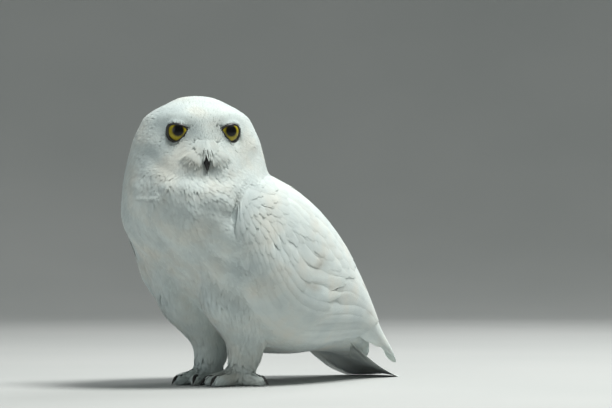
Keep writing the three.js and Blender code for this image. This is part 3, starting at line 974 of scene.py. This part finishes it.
def walk(root, depth, tip, rise, length, yaw, curl, steps=8):
    # Each feather's middle line walks over the body along the lie, turned by its own yaw. Its height
    # in the coat climbs steeply out of the skin, by the sixth power of what is left, and then
    # gains the rise over the last 0.6 of its length, so that every feather lies on the ones behind it.
    share = np.linspace(0, 1, steps)
    p, normal = setOnto(coatSurface, root, -depth, 1)
    line, ups, ways = [], [], []
    stride = (length / (steps - 1))[:, None]
    for i, s in enumerate(share):
        lie = lieOf(p, normal)
        bend = (yaw + curl * s)[:, None]
        way = lie * np.cos(bend) + np.cross(normal, lie) * np.sin(bend)
        line.append(p)
        ups.append(normal)
        ways.append(way)
        if i < steps - 1:
            left = 1 - share[i + 1]
            level = tip - rise * left / 0.6 - (depth + tip - rise / 0.6) * left**6
            p, normal = setOnto(coatSurface, p + way * stride, level, 3 if i < 2 else 1)
    return np.stack(line, 1), np.stack(ups, 1), np.stack(ways, 1)


def alongWalk(line, up, way):
    # Turns (share of the length, distance across, height) into points beside walked lines.
    side = np.cross(up, way)
    count, steps = line.shape[:2]
    each = np.arange(count)[:, None, None]

    def place(share, across, height):
        at = share * (steps - 1)
        low = np.clip(at.astype(int), 0, steps - 2)
        part = (at - low)[..., None]

        def read(values):
            return values[each, low] * (1 - part) + values[each, low + 1] * part
        return read(line) + read(side) * across[..., None] + read(up) * height[..., None]
    return place


def unwrapSkin(p):
    # The skin laid out flat: head and neck by angle and height, the trunk by angle round its
    # axis and distance along it, legs and feet by angle and height in corners of their own.
    shares = owlField(p)[1].argmax(0)
    q = toHead(p)
    along, up = alongAndUp(p)
    head = np.stack([0.02 + 0.46 * (np.arctan2(q[:, 0], -q[:, 1]) / (2 * np.pi) + 0.5),
                     0.55 + 0.43 * np.clip((p[:, 2] - 180) / 155, 0, 1)], 1)
    trunk = np.stack([0.52 + 0.46 * (np.arctan2(p[:, 0], up) / (2 * np.pi) + 0.5),
                      0.02 + 0.96 * np.clip((along + 155) / 470, 0, 1)], 1)
    x, y = legShape["ankle"]
    turn = np.arctan2(np.abs(p[:, 0]) - x, p[:, 1] - y) / (2 * np.pi) + 0.5
    corner = 0.02 + 0.24 * (p[:, 0] < 0)
    leg = np.stack([corner + 0.21 * turn, 0.04 + 0.46 * np.clip(p[:, 2] / 150, 0, 1)], 1)
    onLeg = (shares == 2) | (shares == 3)
    return np.where((shares == 1)[:, None], head, np.where(onLeg[:, None], leg, trunk))


def vaneFaces(columns, rows):
    # The pattern of one closed vane: an upper and an under sheet of quads that share their rim.
    upper = np.arange(rows * columns).reshape(rows, columns)
    under = upper.copy()
    inner = np.arange((rows - 2) * (columns - 2)).reshape(rows - 2, columns - 2)
    under[1:-1, 1:-1] = rows * columns + inner

    def quads(g):
        return np.stack([g[:-1, :-1], g[:-1, 1:], g[1:, 1:], g[1:, :-1]], -1).reshape(-1, 4)
    return np.concatenate([quads(upper), quads(under)[:, ::-1]]), upper, under


def addVanes(name, place, root, length, width, look, material=None, flip=False, dusk=0.0):
    # Many closed vanes at once. Rows run along a vane and columns across it. Half the width follows
    # the outline row by row; outer columns stop short by a circle's arc, which rounds the tip, and
    # by chance amounts, which fray it. The upper sheet arches by the camber, dips by the tilt
    # towards one edge and stands up along the quill; the under sheet lies one thickness below.
    count, columns, rows = len(root), look["columns"], look["rows"]
    across = np.linspace(-1, 1, columns)
    half = width[:, None, None] / 2
    short = look.get("tip", 1.0) * (width / 2 / length)[:, None] * (1 - np.sqrt(1 - 0.98 * across**2))
    reach = 1 - short
    if "fray" in look:
        comb = np.where(np.arange(columns) % 2 == columns // 2 % 2, 0, -1.0)
        reach = reach + look["fray"] * (comb + chance.uniform(-0.6, 0.6, (count, columns)))
        reach = reach / reach.max(1, keepdims=True)
    rowShare = np.linspace(0, 1, rows)
    outline = np.interp(rowShare, *np.array(look["outline"], float).T)
    share = rowShare[None, :, None] * reach[:, None, :]
    side = half * outline[None, :, None] * across
    torn = look.get("ragged", 0) * chance.uniform(0, 1, (count, rows, columns))
    side = side * (1 - torn * (np.abs(across) > 0.99))
    quill = look.get("quill", 0) * (np.abs(across) < 0.01) * (1 - 0.7 * share)
    height = look["camber"] * half * (1 - across**2) - look.get("tilt", 0) * across + quill
    height = height + 0 * share
    thick = look["thick"] * (1 - 0.5 * share)
    top = place(share, side, height)
    under = place(share, side, height - thick)
    faces, upperIndex, underIndex = vaneFaces(columns, rows)
    each = rows * columns + (rows - 2) * (columns - 2)
    points = np.empty((count, each, 3))
    points[:, upperIndex.ravel()] = top.reshape(count, -1, 3)
    points[:, underIndex[1:-1, 1:-1].ravel()] = under[:, 1:-1, 1:-1].reshape(count, -1, 3)
    span = np.stack([np.broadcast_to(across, (rows, columns)),
                     np.broadcast_to(rowShare[:, None], (rows, columns))], -1)
    lie = np.empty((each, 2))
    for index, cut in ((upperIndex, slice(None)), (underIndex[1:-1, 1:-1], slice(1, -1))):
        lie[index.ravel()] = span[cut, cut].reshape(-1, 2)
    patch = unwrapSkin(root)[:, None] + 0.0015 * (lie * (1, 2) - (0, 1))
    beside = np.abs(lie[None, :, 0]) * width[:, None] / 2
    slant = lie[None, :, 1] * length[:, None] - 0.9 * beside + chance.uniform(0, 99, (count, 1))
    barbs = np.stack([slant, lie[None, :, 0] * width[:, None]], -1)
    # Each vane's tone is partly chance and partly painted shade: vanes rooted in the coat's creases are
    # darker.
    tone = 0.45 * chance.uniform(0, 1, count) + 0.55 * np.clip(0.4 + coatSwell(root) / 4, 0, 1)
    tone = np.repeat(tone, each)         # by chance, and darker with painted shade in the creases of the coat
    allFaces = (faces[None] + (np.arange(count) * each)[:, None, None]).reshape(-1, 4)
    points = points.reshape(-1, 3)
    piece = addObject(name, points, allFaces[:, ::-1] if flip else allFaces,
                      {"OFBake": patch.reshape(-1, 2), "Lie": barbs.reshape(-1, 2)},
                      {"vane": tone, "mark": np.maximum(spotsAndMouthShade(points), dusk * tone)})
    piece.data.set_sharp_from_angle(angle=np.radians(75))
    rideAs(piece, "plumage", material or softWhite)
    print(name, count, "vanes", 2 * len(allFaces), "triangles")
    return piece


wingShape = {
    "slant": 0.5,                # how far a feather climbs along its length once it is out
    # Rows of feathers, from the wing's tip forwards: how many; the height in the wing of the lowest
    # and highest, 0 to 1, at root and tip; where their roots and tips lie along the axis, lowest and
    # highest; width; depth of root and tip under the wing's surface.
    "primaries": {"count": 8, "rootUp": (0.22, 0.62), "tipUp": (0.16, 0.60), "rootAt": (76, 104),
                  "tipAt": (246, 299), "width": 26, "deep": (7.0, 1.6)},
    "secondaries": {"count": 13, "rootUp": (0.06, 0.84), "tipUp": (0.08, 0.86), "rootAt": (4, 40),
                    "tipAt": (188, 236), "width": 29, "deep": (6.0, 1.0)},
    "greaterCoverts": {"count": 13, "rootUp": (0.06, 0.72), "tipUp": (0.07, 0.72), "rootAt": (-32, 8),
                       "tipAt": (84, 104), "width": 27, "deep": (5.5, 0.7)},
    "medianCoverts": {"count": 14, "rootUp": (0.06, 0.66), "tipUp": (0.06, 0.66), "rootAt": (-54, -28),
                      "tipAt": (26, 44), "width": 23, "deep": (5.0, 0.6)},
}

longVane = {"columns": 11, "rows": 15, "tip": 1.1, "camber": 0.05, "tilt": 0.28, "thick": 0.36,
            "quill": 0.15, "ragged": 0.04,
            "outline": [(0, 0.45), (0.2, 0.9), (0.55, 1), (0.85, 1), (1, 0.72)]}
covertVane = {"columns": 9, "rows": 8, "tip": 1.15, "camber": 0.05, "tilt": 0.15, "thick": 0.22,
              "quill": 0.08, "ragged": 0.05, "fray": 0.014,
              "outline": [(0, 0.4), (0.3, 0.85), (0.6, 1), (0.88, 1), (1, 0.7)]}
smallCovert = {"columns": 7, "rows": 6, "tip": 1.1, "camber": 0.05, "tilt": 0.12, "thick": 0.26,
               "fray": 0.03, "outline": [(0, 0.4), (0.35, 0.85), (0.7, 1), (0.9, 0.95), (1, 0.7)]}


def wingPoint(at, upShare, depth):
    # A point of the left wing: the superellipse section there, at a share of the way between the
    # wing's lower and upper edges, sunk by a depth.
    half, back, breast = (read(at) for read in wingCurves)
    turn = np.radians(wingLow(at) + upShare * (wingHigh(at) - wingLow(at)))
    power = 2 / boxinessAt(at, turn)
    up = (back + breast) / 2 + ((back - breast) / 2 - depth) * powered(np.sin(turn), power)
    out = (half - depth) * powered(np.cos(turn), power)
    behind, high = (axis[i] * at + backward[i] * up for i in (1, 2))
    return bodyMiddle + np.stack([out, behind, high], -1)


def alongWing(rootAt, tipAt, rootUp, tipUp, rootDeep, tipDeep, side):
    # Turns (share of the length, distance across, height) into points of a wing, where each feather
    # runs from its root to its tip, climbs steeply from its root's depth and then along the slant.
    mirror = np.array([side, 1, 1])

    def place(share, across, height):
        def spread(v):
            return v[:, None, None]
        at = spread(rootAt) + spread(tipAt - rootAt) * share
        up = spread(rootUp) + spread(tipUp - rootUp) * share
        left = 1 - share
        slant = wingShape["slant"]
        depth = spread(tipDeep) + slant * left + spread(rootDeep - tipDeep - slant) * left**8
        alongStep = (wingPoint(at + 1, up, 0) - wingPoint(at - 1, up, 0)) / 2
        upStep = (wingPoint(at, up + 0.01, 0) - wingPoint(at, up - 0.01, 0)) / 0.02
        ahead = alongStep * spread(tipAt - rootAt)[..., None] + upStep * spread(tipUp - rootUp)[..., None]
        ahead = unit(ahead)
        sideways = unit(upStep - ahead * dot(upStep, ahead))
        at = at + across * (dot(sideways, alongStep) / dot(alongStep, alongStep))[..., 0]
        up = up + across * (dot(sideways, upStep) / dot(upStep, upStep))[..., 0]
        return wingPoint(at, np.clip(up, -0.04, 1.04), depth - height) * mirror
    return place


def addWingRow(name, row, look, side):
    # One row of flight feathers or coverts, evenly spread between its lowest and highest.
    r = wingShape[row]
    count = r["count"]
    step = np.linspace(0, 1, count)
    ends = ("rootAt", "tipAt", "rootUp", "tipUp")
    rootAt, tipAt, rootUp, tipUp = (np.interp(step, (0, 1), r[k]) for k in ends)
    if row == "primaries":       # their tips round the wing's point
        lowest, highest = r["tipAt"]
        tipAt = lowest + (highest - lowest) * np.sin(np.pi / 2 * np.minimum(step * 1.35, 1.2))
    tipAt = tipAt + chance.uniform(-1.5, 1.5, count)
    width = r["width"] * chance.uniform(0.93, 1.07, count)
    deep = [np.full(count, d) for d in r["deep"]]
    place = alongWing(rootAt, tipAt, rootUp, tipUp, *deep, side)
    root = wingPoint(rootAt, rootUp, deep[0]) * (side, 1, 1)
    addVanes(name, place, root, tipAt - rootAt, width, look, vaneWhite, side < 0)


def addSmallCoverts(name, rows, lowest, highest, length, width, deep, look, side, sway=0.0):
    # Staggered rows of small coverts; rows gives where their tips lie along the axis.
    tipAt, up = [], []
    for i, at in enumerate(rows):
        low, high = lowest(at), highest(at)
        scale = np.radians(wingHigh(at) - wingLow(at)) * 92
        count = max(2, int(round((high - low) * scale / (width * 0.52))))
        up.append(low + (high - low) * (np.arange(count) + 0.25 + 0.5 * (i % 2)) / count)
        tipAt.append(np.full(count, float(at)))
    tipAt, up = np.concatenate(tipAt), np.concatenate(up)
    count = len(up)
    tipAt = tipAt + chance.uniform(-4, 4, count)
    up = up + chance.normal(0, 0.008, count)
    long = length * chance.uniform(0.9, 1.1, count)
    rootDeep = np.full(count, float(deep[0]))
    tipDeep = deep[1] + chance.uniform(-0.1, 0.1, count) - 1.8 * ease(-40, -80, tipAt)
    rootAt = np.maximum(tipAt - long, -98)
    rootUp = up + sway
    place = alongWing(rootAt, tipAt, rootUp, up, rootDeep, tipDeep, side)
    root = wingPoint(rootAt, rootUp, rootDeep) * (side, 1, 1)
    addVanes(name, place, root, long, width * chance.uniform(0.9, 1.1, count), look, vaneWhite, side < 0)


def scapularEdge(at):
    # Height in the wing of the scapulars' lower edge: at 5 degrees, and higher towards both ends.
    edge = 5 + 10 * ease(-60, -100, at) + 12 * ease(40, 110, at)
    return (edge - wingLow(at)) / (wingHigh(at) - wingLow(at))


def addWing(side, word):
    # From the flight feathers up to the shoulder, each row over the roots of the one before.
    addWingRow(f"primaries_{word}", "primaries", longVane, side)
    addWingRow(f"secondaries_{word}", "secondaries", longVane, side)
    addWingRow(f"greater_coverts_{word}", "greaterCoverts", covertVane, side)
    addWingRow(f"median_coverts_{word}", "medianCoverts", covertVane, side)
    addSmallCoverts(f"lesser_coverts_{word}", np.arange(4, -92, -13), lambda at: 0.03,
                    lambda at: min(scapularEdge(at) + 0.12, 1), 36, 15, (6, 0.5), smallCovert, side)
    addSmallCoverts(f"scapulars_{word}", np.arange(112, -84, -19), scapularEdge, lambda at: 1.02,
                    56, 23, (5, 0.4), covertVane, side, 0.04)


tailShape = {
    "line": [(0, 112, 94), (0.35, 180, 61), (0.7, 250, 23), (1, 306, 2.4)],   # share, behind, height
    "halfWidth": [(0, 22), (0.5, 33), (0.85, 39), (1, 41)],
    "count": 12,
    "featherWidth": 27,
    "camber": 6,
    # coverts over and under the root: reach of the outer and inner ones, spread, width
    "over": ((0.55, 0.6), 0.8, 23.0),
    "under": ((0.62, 0.66), 0.85, 25.0),
    "covertCount": 9,
}
tailCurves = [curveThrough(tailShape["line"], i) for i in (1, 2)]
tailHalf = curveThrough(tailShape["halfWidth"])


def alongTail(place01, reach, below):
    # Turns (share of the length, distance across, height) into points of the fanned tail, which
    # arches across and falls to the floor; place01 gives each feather's place from side to side.
    def place(share, across, height):
        share = share * reach[:, None, None]
        x = place01[:, None, None] * (tailHalf(share) - 9 * ease(0, 1, share)) + across
        y, z = (read(share) for read in tailCurves)
        lift = height - below[:, None, None] - tailShape["camber"] * (x / 40) ** 2
        return np.stack([x, y + 0.43 * lift, np.maximum(z + 0.9 * lift, 0.2)], -1)
    return place


def addTail():
    # Feathers fanned evenly from side to side, the middle pair on top, and coverts over and under.
    count = tailShape["count"]
    step = np.linspace(-1, 1, count)
    order = np.abs(step) * count / 2
    width = np.full(count, float(tailShape["featherWidth"]))
    flat = {**longVane, "tilt": 0.0, "camber": 0.05}
    sets = [("tail_feathers", 1 - 0.05 * np.abs(step) ** 2, step, width, 0.5 * order + 1.5, flat)]
    few = tailShape["covertCount"]
    for cover, base, way in (("over", -0.6, 1), ("under", 7.5, -1)):
        reach, spread, wide = tailShape[cover]
        steps = np.linspace(-spread, spread, few)
        sets.append((f"tail_coverts_{cover}", np.linspace(*reach, few), steps, np.full(few, wide),
                     base + way * np.abs(steps), covertVane))
    for name, reach, steps, wide, below, look in sets:
        place = alongTail(steps, reach, below)
        root = np.stack([steps * 20, np.full(len(steps), 112.0), np.full(len(steps), 92.0)], 1)
        addVanes(name, place, root, 216 * reach, wide, look, vaneWhite)


triangles = np.concatenate([skinFaces[:, [0, 1, 2]], skinFaces[:, [0, 2, 3]]])
corner = skinPoints[triangles]
triangleSides = corner[:, 1] - corner[:, 0], corner[:, 2] - corner[:, 0]
triangleArea = np.linalg.norm(np.cross(*triangleSides), axis=1) / 2
triangleMiddle = corner.mean(1)


def scatter(spacing):
    # Roots spread over the skin: many chance points by area, then each point taken in turn clears
    # a ring of its own spacing round itself.
    want = spacing(triangleMiddle)
    number = chance.poisson(np.where(want > 0, triangleArea * 4 / np.maximum(want, 0.5) ** 2, 0))
    pick = np.repeat(np.arange(len(triangleArea)), number)
    a, b = chance.uniform(0, 1, (2, len(pick), 1))
    flip = a + b > 1
    a, b = np.where(flip, 1 - a, a), np.where(flip, 1 - b, b)
    c = corner[pick]
    points = c[:, 0] + a * (c[:, 1] - c[:, 0]) + b * (c[:, 2] - c[:, 0])
    points = points[chance.permutation(len(points))]
    room = spacing(points) * 0.82
    tree = KDTree(len(points))
    for i, point in enumerate(points):
        tree.insert(point, i)
    tree.balance()
    free = room > 0
    for i in range(len(points)):
        if free[i]:
            near = [j for _, j, _ in tree.find_range(points[i], room[i]) if j > i]
            free[near] = False
    return points[free]


def underWing(p, margin):
    # True well inside the wing's edges, over the trunk.
    along, turn = wingPlace(p)
    inside = (turn > wingLow(along) + margin) & (turn < wingHigh(along) - margin)
    shares = owlField(p)[1]
    return inside & (shares[0] + shares[2] > 0.5) & (along > -96 + margin) & (along < 175)


def regions(p):
    # Each point's share of trunk, neck, crown, face, leg and foot.
    shares = owlField(p)[1]
    face = faceShare(p)
    high = ease(232, 262, p[:, 2])
    head = shares[1]
    return {"trunk": shares[0] + shares[4], "neck": head * (1 - high) * (1 - face),
            "crown": head * high * (1 - face), "face": head * face, "leg": shares[2], "foot": shares[3]}


# Spacing, length, width and thickness of the feathers by region, and how unevenly their tips lie.
coat = {
    "trunk": {"spacing": 2.7, "length": 24, "width": 6.4, "thick": 0.14, "uneven": 0.06},
    "neck": {"spacing": 2.2, "length": 19, "width": 5.9, "thick": 0.13, "uneven": 0.05},
    "crown": {"spacing": 2.1, "length": 13, "width": 3.4, "thick": 0.1, "uneven": 0.05},
    "face": {"spacing": 1.5, "length": 10, "width": 2.9, "thick": 0.075, "uneven": 0.05},
    "leg": {"spacing": 3.0, "length": 21, "width": 4.6, "thick": 0.18, "uneven": 0.2},
    "foot": {"spacing": 2.1, "length": 9, "width": 2.6, "thick": 0.25, "uneven": 0.2},
}


def coatOf(p, what):
    # A measure of the coat, mixed by each region's share of the place.
    parts = regions(p)
    return sum(parts[k] * coat[k][what] for k in coat)


# The coat close to the eyes, as a share of its usual measure at the lid, and the distance over
# which that grows by one.
coatByEye = {"spacing": (0.56, 26), "length": (0.42, 28), "width": (0.65, 40)}


def byEye(away, what):
    # A share that rises evenly with the distance from the lid, up to 1.
    least, reach = coatByEye[what]
    return np.clip(least + away / reach, least, 1)


thin = 1.0
# Bare ground: rims of the eyelids, a ball at the eye's inner corner, a block round the bill, a
# strip inside the wing's edges in degrees, and the soles below this height.
bare = {
    "lid": 0.6, "innerCorner": (-13.4, 2.0, 10.5), "cornerRadius": 2.6,
    "billHalfWidth": 4.0, "billHeights": (-34, -8), "billBefore": -50, "wing": 8, "sole": 2.0,
}
cornerWay = sum(reach * way for reach, way in zip(bare["innerCorner"], lidWays))
innerCorner = np.array(eyeShape["place"]) + cornerWay          # of the left eye, head's frame


def coatSpacing(p):
    # Spacing by region; nothing under the wings, on the eyelids, in the bill or under the soles.
    want = coatOf(p, "spacing") * thin
    q = toHead(p)
    q[:, 0] = np.abs(q[:, 0])
    away = eyeSight(q)[0]
    want = want * byEye(away, "spacing")
    low, high = bare["billHeights"]
    bill = (q[:, 0] < bare["billHalfWidth"]) & (q[:, 1] < bare["billBefore"])
    bill = bill & (q[:, 2] > low) & (q[:, 2] < high)
    corner = np.linalg.norm(q - innerCorner, axis=1) < bare["cornerRadius"]
    none = underWing(p, bare["wing"]) | (away < bare["lid"]) | corner | bill | (p[:, 2] < bare["sole"])
    return np.where(none, 0, want)


softVane = {"columns": 5, "rows": 5, "tip": 1.1, "camber": 0.04, "thick": 0.13, "fray": 0.04,
            "outline": [(0, 0.5), (0.35, 0.95), (0.6, 1), (0.85, 0.92), (1, 0.55)]}
slimVane = {"columns": 5, "rows": 4, "tip": 1.3, "camber": 0.04, "thick": 0.13, "fray": 0.04,
            "outline": [(0, 0.5), (0.45, 1), (0.8, 0.88), (1, 0.4)]}
tuft = {"columns": 3, "rows": 4, "tip": 0, "camber": 0.06, "thick": 0.12,
        "outline": [(0, 0.5), (0.4, 1), (0.75, 0.8), (1, 0.15)]}


def growCoat(roots):
    # Each root's measures are its region's, changed a little by chance; lines are walked from them
    # and turned into vanes, in pieces that hold one kind of vane each.
    depth = -coatSurface(roots)
    width = coatOf(roots, "width") * chance.uniform(0.8, 1.2, len(roots))
    length = coatOf(roots, "length") * chance.uniform(0.8, 1.2, len(roots))
    away = eyeSight(toHead(roots))[0]
    length = length * byEye(away, "length")
    width = width * byEye(away, "width")
    normal = setOnto(owlSurface, roots, owlSurface(roots), 1)[1]
    ahead = roots + lieOf(roots, normal) * length[:, None]
    length = length * np.where(underWing(ahead, -1) & (alongAndUp(roots)[0] < 0), 0.55, 1)
    yaw = np.radians(7) * clumps(roots, 6, 5) + chance.normal(0, np.radians(6), len(roots))
    tip = coatOf(roots, "uneven") * chance.normal(0, 1, len(roots)).clip(-1.5, 1.5) - 0.09 * depth
    rise = 0.75 * length * coatOf(roots, "thick") / coatOf(roots, "spacing")
    curl = chance.normal(0, np.radians(7), len(roots))
    share = np.stack(list(regions(roots).values()))
    zone = np.array(list(coat))[share.argmax(0)]
    for name, look in (("trunk", softVane), ("neck", softVane), ("crown", slimVane), ("face", tuft),
                       ("leg", slimVane), ("foot", tuft)):
        which = np.flatnonzero(zone == name)
        which = which[np.argsort(roots[which] @ (axis + 0.001), kind="stable")]
        each = 4 * (look["columns"] - 1) * (look["rows"] - 1)
        parts = np.array_split(which, max(1, -(-len(which) * each // 190000)))
        for i, index in enumerate(parts):
            walked = walk(roots[index], depth[index], tip[index], rise[index], length[index], yaw[index],
                          curl[index])
            label = f"{name}_coat" + (f"_{i + 1}" if len(parts) > 1 else "")
            addVanes(label, alongWalk(*walked), roots[index], length[index], width[index], look)


# Feathers that lean over the bill, in sets: how many on each side; where they are rooted, beside
# and over the middle of the head, from the first to the last, and how far they stray; the heading
# outwards from straight down in degrees and the length, first to last; width; how high tips stand;
# how brown the brownest are.
bristles = {
    "brow_fan": {"count": 84, "from": (1.0, 6), "to": (11, 2), "stray": (0.8, 3.4),
                 "heading": (0, 26), "length": (24, 10), "width": 1.7, "stand": 1.5, "dusk": 0.4},
    "over_bill": {"count": 44, "from": (1.3, -8), "to": (5.0, -12), "stray": (0.3, 1.5),
                  "heading": (3, 5), "length": (17, 14), "width": 1.7, "stand": 0.8, "dusk": 0.9},
    "moustache": {"count": 80, "from": (1.8, -15), "to": (11, -7), "stray": (0.8, 1.6),
                  "heading": (8, 58), "length": (15, 20), "width": 1.6, "stand": 2.6, "dusk": 0.7},
    "cheek_fan": {"count": 60, "from": (7, -19), "to": (16, -8), "stray": (1.6, 2.0),
                  "heading": (24, 62), "length": (15, 18), "width": 1.8, "stand": 1.8, "dusk": 0.4},
}


def billCover(p):
    # The coat's surface together with the bill's upper part, for what lies over it.
    q = toHead(p)
    (rootY, rootZ), (tipY, tipZ) = billShape["root"], billShape["tip"]
    share = np.linspace(0, 1, 6)
    line = bent([(0, rootY, rootZ), *((0, y, z) for y, z in billShape["ridge"]), (0, tipY, tipZ)], share)
    tall = billShape["halfHeight"] * (1 - share**1.9) ** 0.62 + 0.4
    rods = [rodField(q, line[i], line[i + 1], tall[i], tall[i + 1]) for i in range(5)]
    return softJoin([coatSurface(p), *rods], 0.7)[0]


def addBristles(name, look):
    # Each line steps over the face along its heading and lifts off it in an even arch.
    count = 2 * look["count"]
    share = chance.uniform(0, 1, count)
    side = np.repeat([1, -1], look["count"])
    at = []
    for first, last, stray in zip(look["from"], look["to"], look["stray"]):
        at.append(np.interp(share, (0, 1), (first, last)) + stray * chance.uniform(-1, 1, count))
    q = np.stack([side * np.abs(at[0]), np.full(count, -70.0), at[1]], 1)
    heading = np.radians(np.interp(share, (0, 1), look["heading"]) + chance.normal(0, 7, count))
    ahead = np.stack([side * np.sin(heading), 0 * heading, -np.cos(heading)], 1) @ headWays
    length = np.interp(share, (0, 1), look["length"]) * chance.uniform(0.88, 1.1, count)
    p, normal = setOnto(billCover, fromHead(q), -2.0, 4)
    root, steps = p, 6
    line, ups, ways = [], [], []
    for s in np.linspace(0, 1, steps):
        way = unit(onTangent(ahead, normal))
        line.append(p)
        ups.append(normal)
        ways.append(way)
        level = -2.0 + (2.0 + look["stand"]) * np.sin(np.pi / 2 * min(s + 1 / (steps - 1), 1))
        p, normal = setOnto(billCover, p + way * (length / (steps - 1))[:, None], level, 2)
    walked = np.stack(line, 1), np.stack(ups, 1), np.stack(ways, 1)
    width = look["width"] * chance.uniform(0.8, 1.2, count)
    addVanes(name, alongWalk(*walked), root, length, width, tuft, dusk=look["dusk"])


roots = scatter(coatSpacing)
print("roots scattered:", len(roots))
growCoat(roots)
for name, look in bristles.items():
    addBristles(f"{name}_bristles", look)
for side, word in ((1, "left"), (-1, "right")):
    addWing(side, word)
addTail()


stage = {
    "azimuth": 42,               # degrees round from straight in front of the breast
    "elevation": 3,
    "distance": 3000,
    "frameWidth": 703.8,         # how much of the owl's plane the frame spans
    "aim": (100, 208),           # from the stance point to the frame's middle: across, up
    # metres: across, towards the camera and up; size, power, colour
    "lights": {
        "key": ((0.9, 0.45, 2.7), 1.0, 110, (0.98, 1.0, 0.965)),
        "fill": ((-1.9, 1.3, 0.9), 1.6, 9, (0.90, 0.97, 1.0)),
        "rim": ((0.9, -1.6, 1.9), 1.2, 24, (1, 1, 1)),
    },
    "world": (0.62, 0.70, 0.69),
    "worldStrength": 0.3,
    # metres: radius of the room, of the bend between floor and wall, and height of the wall
    "room": (5.2, 2.4, 4.6),
    "paint": ((0.42, 0.43, 0.425), (0.46, 0.465, 0.46)),
}


def addCamera():
    # Level with the owl's middle from its left front, looking at the edge of its back.
    a, e = np.radians(stage["azimuth"]), np.radians(stage["elevation"])
    right = np.array([np.cos(a), np.sin(a), 0])
    back = np.array([np.sin(a) * np.cos(e), -np.cos(a) * np.cos(e), np.sin(e)])
    up = np.cross(back, right)
    aim = right * stage["aim"][0] + up * stage["aim"][1]
    place = back * stage["distance"]
    back = unit(place - aim)
    right = unit(np.cross([0, 0, 1], back))
    up = np.cross(back, right)
    place = place + stance
    data = bpy.data.cameras.new("camera")
    data.sensor_width = 36
    data.lens = 36 * stage["distance"] / stage["frameWidth"]
    data.clip_start = 0.05
    data.clip_end = 50
    camera = bpy.data.objects.new("camera", data)
    turn = Matrix(np.stack([right, up, back], 1).tolist())
    camera.matrix_world = Matrix.Translation(Vector(place / 1000)) @ turn.to_4x4()
    bpy.context.scene.collection.objects.link(camera)
    bpy.context.scene.camera = camera
    return right, up, back


def addLight(name, place, size, power, colour):
    # A square lamp that faces the owl's middle.
    data = bpy.data.lights.new(name, "AREA")
    data.size = size
    data.energy = power
    data.color = colour
    light = bpy.data.objects.new(name, data)
    light.location = place
    light.rotation_euler = (Vector((0, 0, 0.15)) - Vector(place)).to_track_quat("-Z", "Y").to_euler()
    bpy.context.scene.collection.objects.link(light)


def addCove():
    # A round pale room: a flat floor that sweeps up into its wall through a quarter circle.
    radius, bend, height = stage["room"]
    around = 96
    quarter = np.linspace(0, np.pi / 2, 24)[1:]
    out = np.concatenate([[0.02, 1.5, radius - bend], radius - bend + bend * np.sin(quarter), [radius]])
    rise = np.concatenate([[0, 0, 0], bend * (1 - np.cos(quarter)), [height]])[:, None]
    turn = np.linspace(0, 2 * np.pi, around, endpoint=False)
    points = np.stack([out[:, None] * np.cos(turn), out[:, None] * np.sin(turn), rise + 0 * turn], -1)
    points = points.reshape(-1, 3) * 1000 - stance
    faces = gridFaces(len(out), around, False, True)
    cove = addObject("cove", *capped(points, faces, len(out), around, both=False))
    cove.data.materials.append(coveMaterial())


def coveMaterial():
    # Pale matt paint with a very faint drift in tone.
    material, nodes, links, shader = newMaterial("pale paint", (0.5, 0.5, 0.5), 0.9)
    where = nodes.new("ShaderNodeTexCoord")
    tint = ramp(nodes, list(zip((0.3, 0.7), stage["paint"])))
    links.new(noise(nodes, links, where.outputs["Object"], 1.5, 2), tint.inputs["Fac"])
    links.new(tint.outputs["Color"], shader.inputs["Base Color"])
    return material


right, up, back = addCamera()
addCove()
for name, ((across, near, high), *look) in stage["lights"].items():
    addLight(name, tuple(across * right + near * back + (0, 0, high)), *look)
world = bpy.data.worlds.new("studio")
world.use_nodes = True
world.node_tree.nodes["Background"].inputs["Color"].default_value = (*stage["world"], 1)
world.node_tree.nodes["Background"].inputs["Strength"].default_value = stage["worldStrength"]
bpy.context.scene.world = world
bpy.context.scene.view_settings.view_transform = "Standard"
print("stage set")
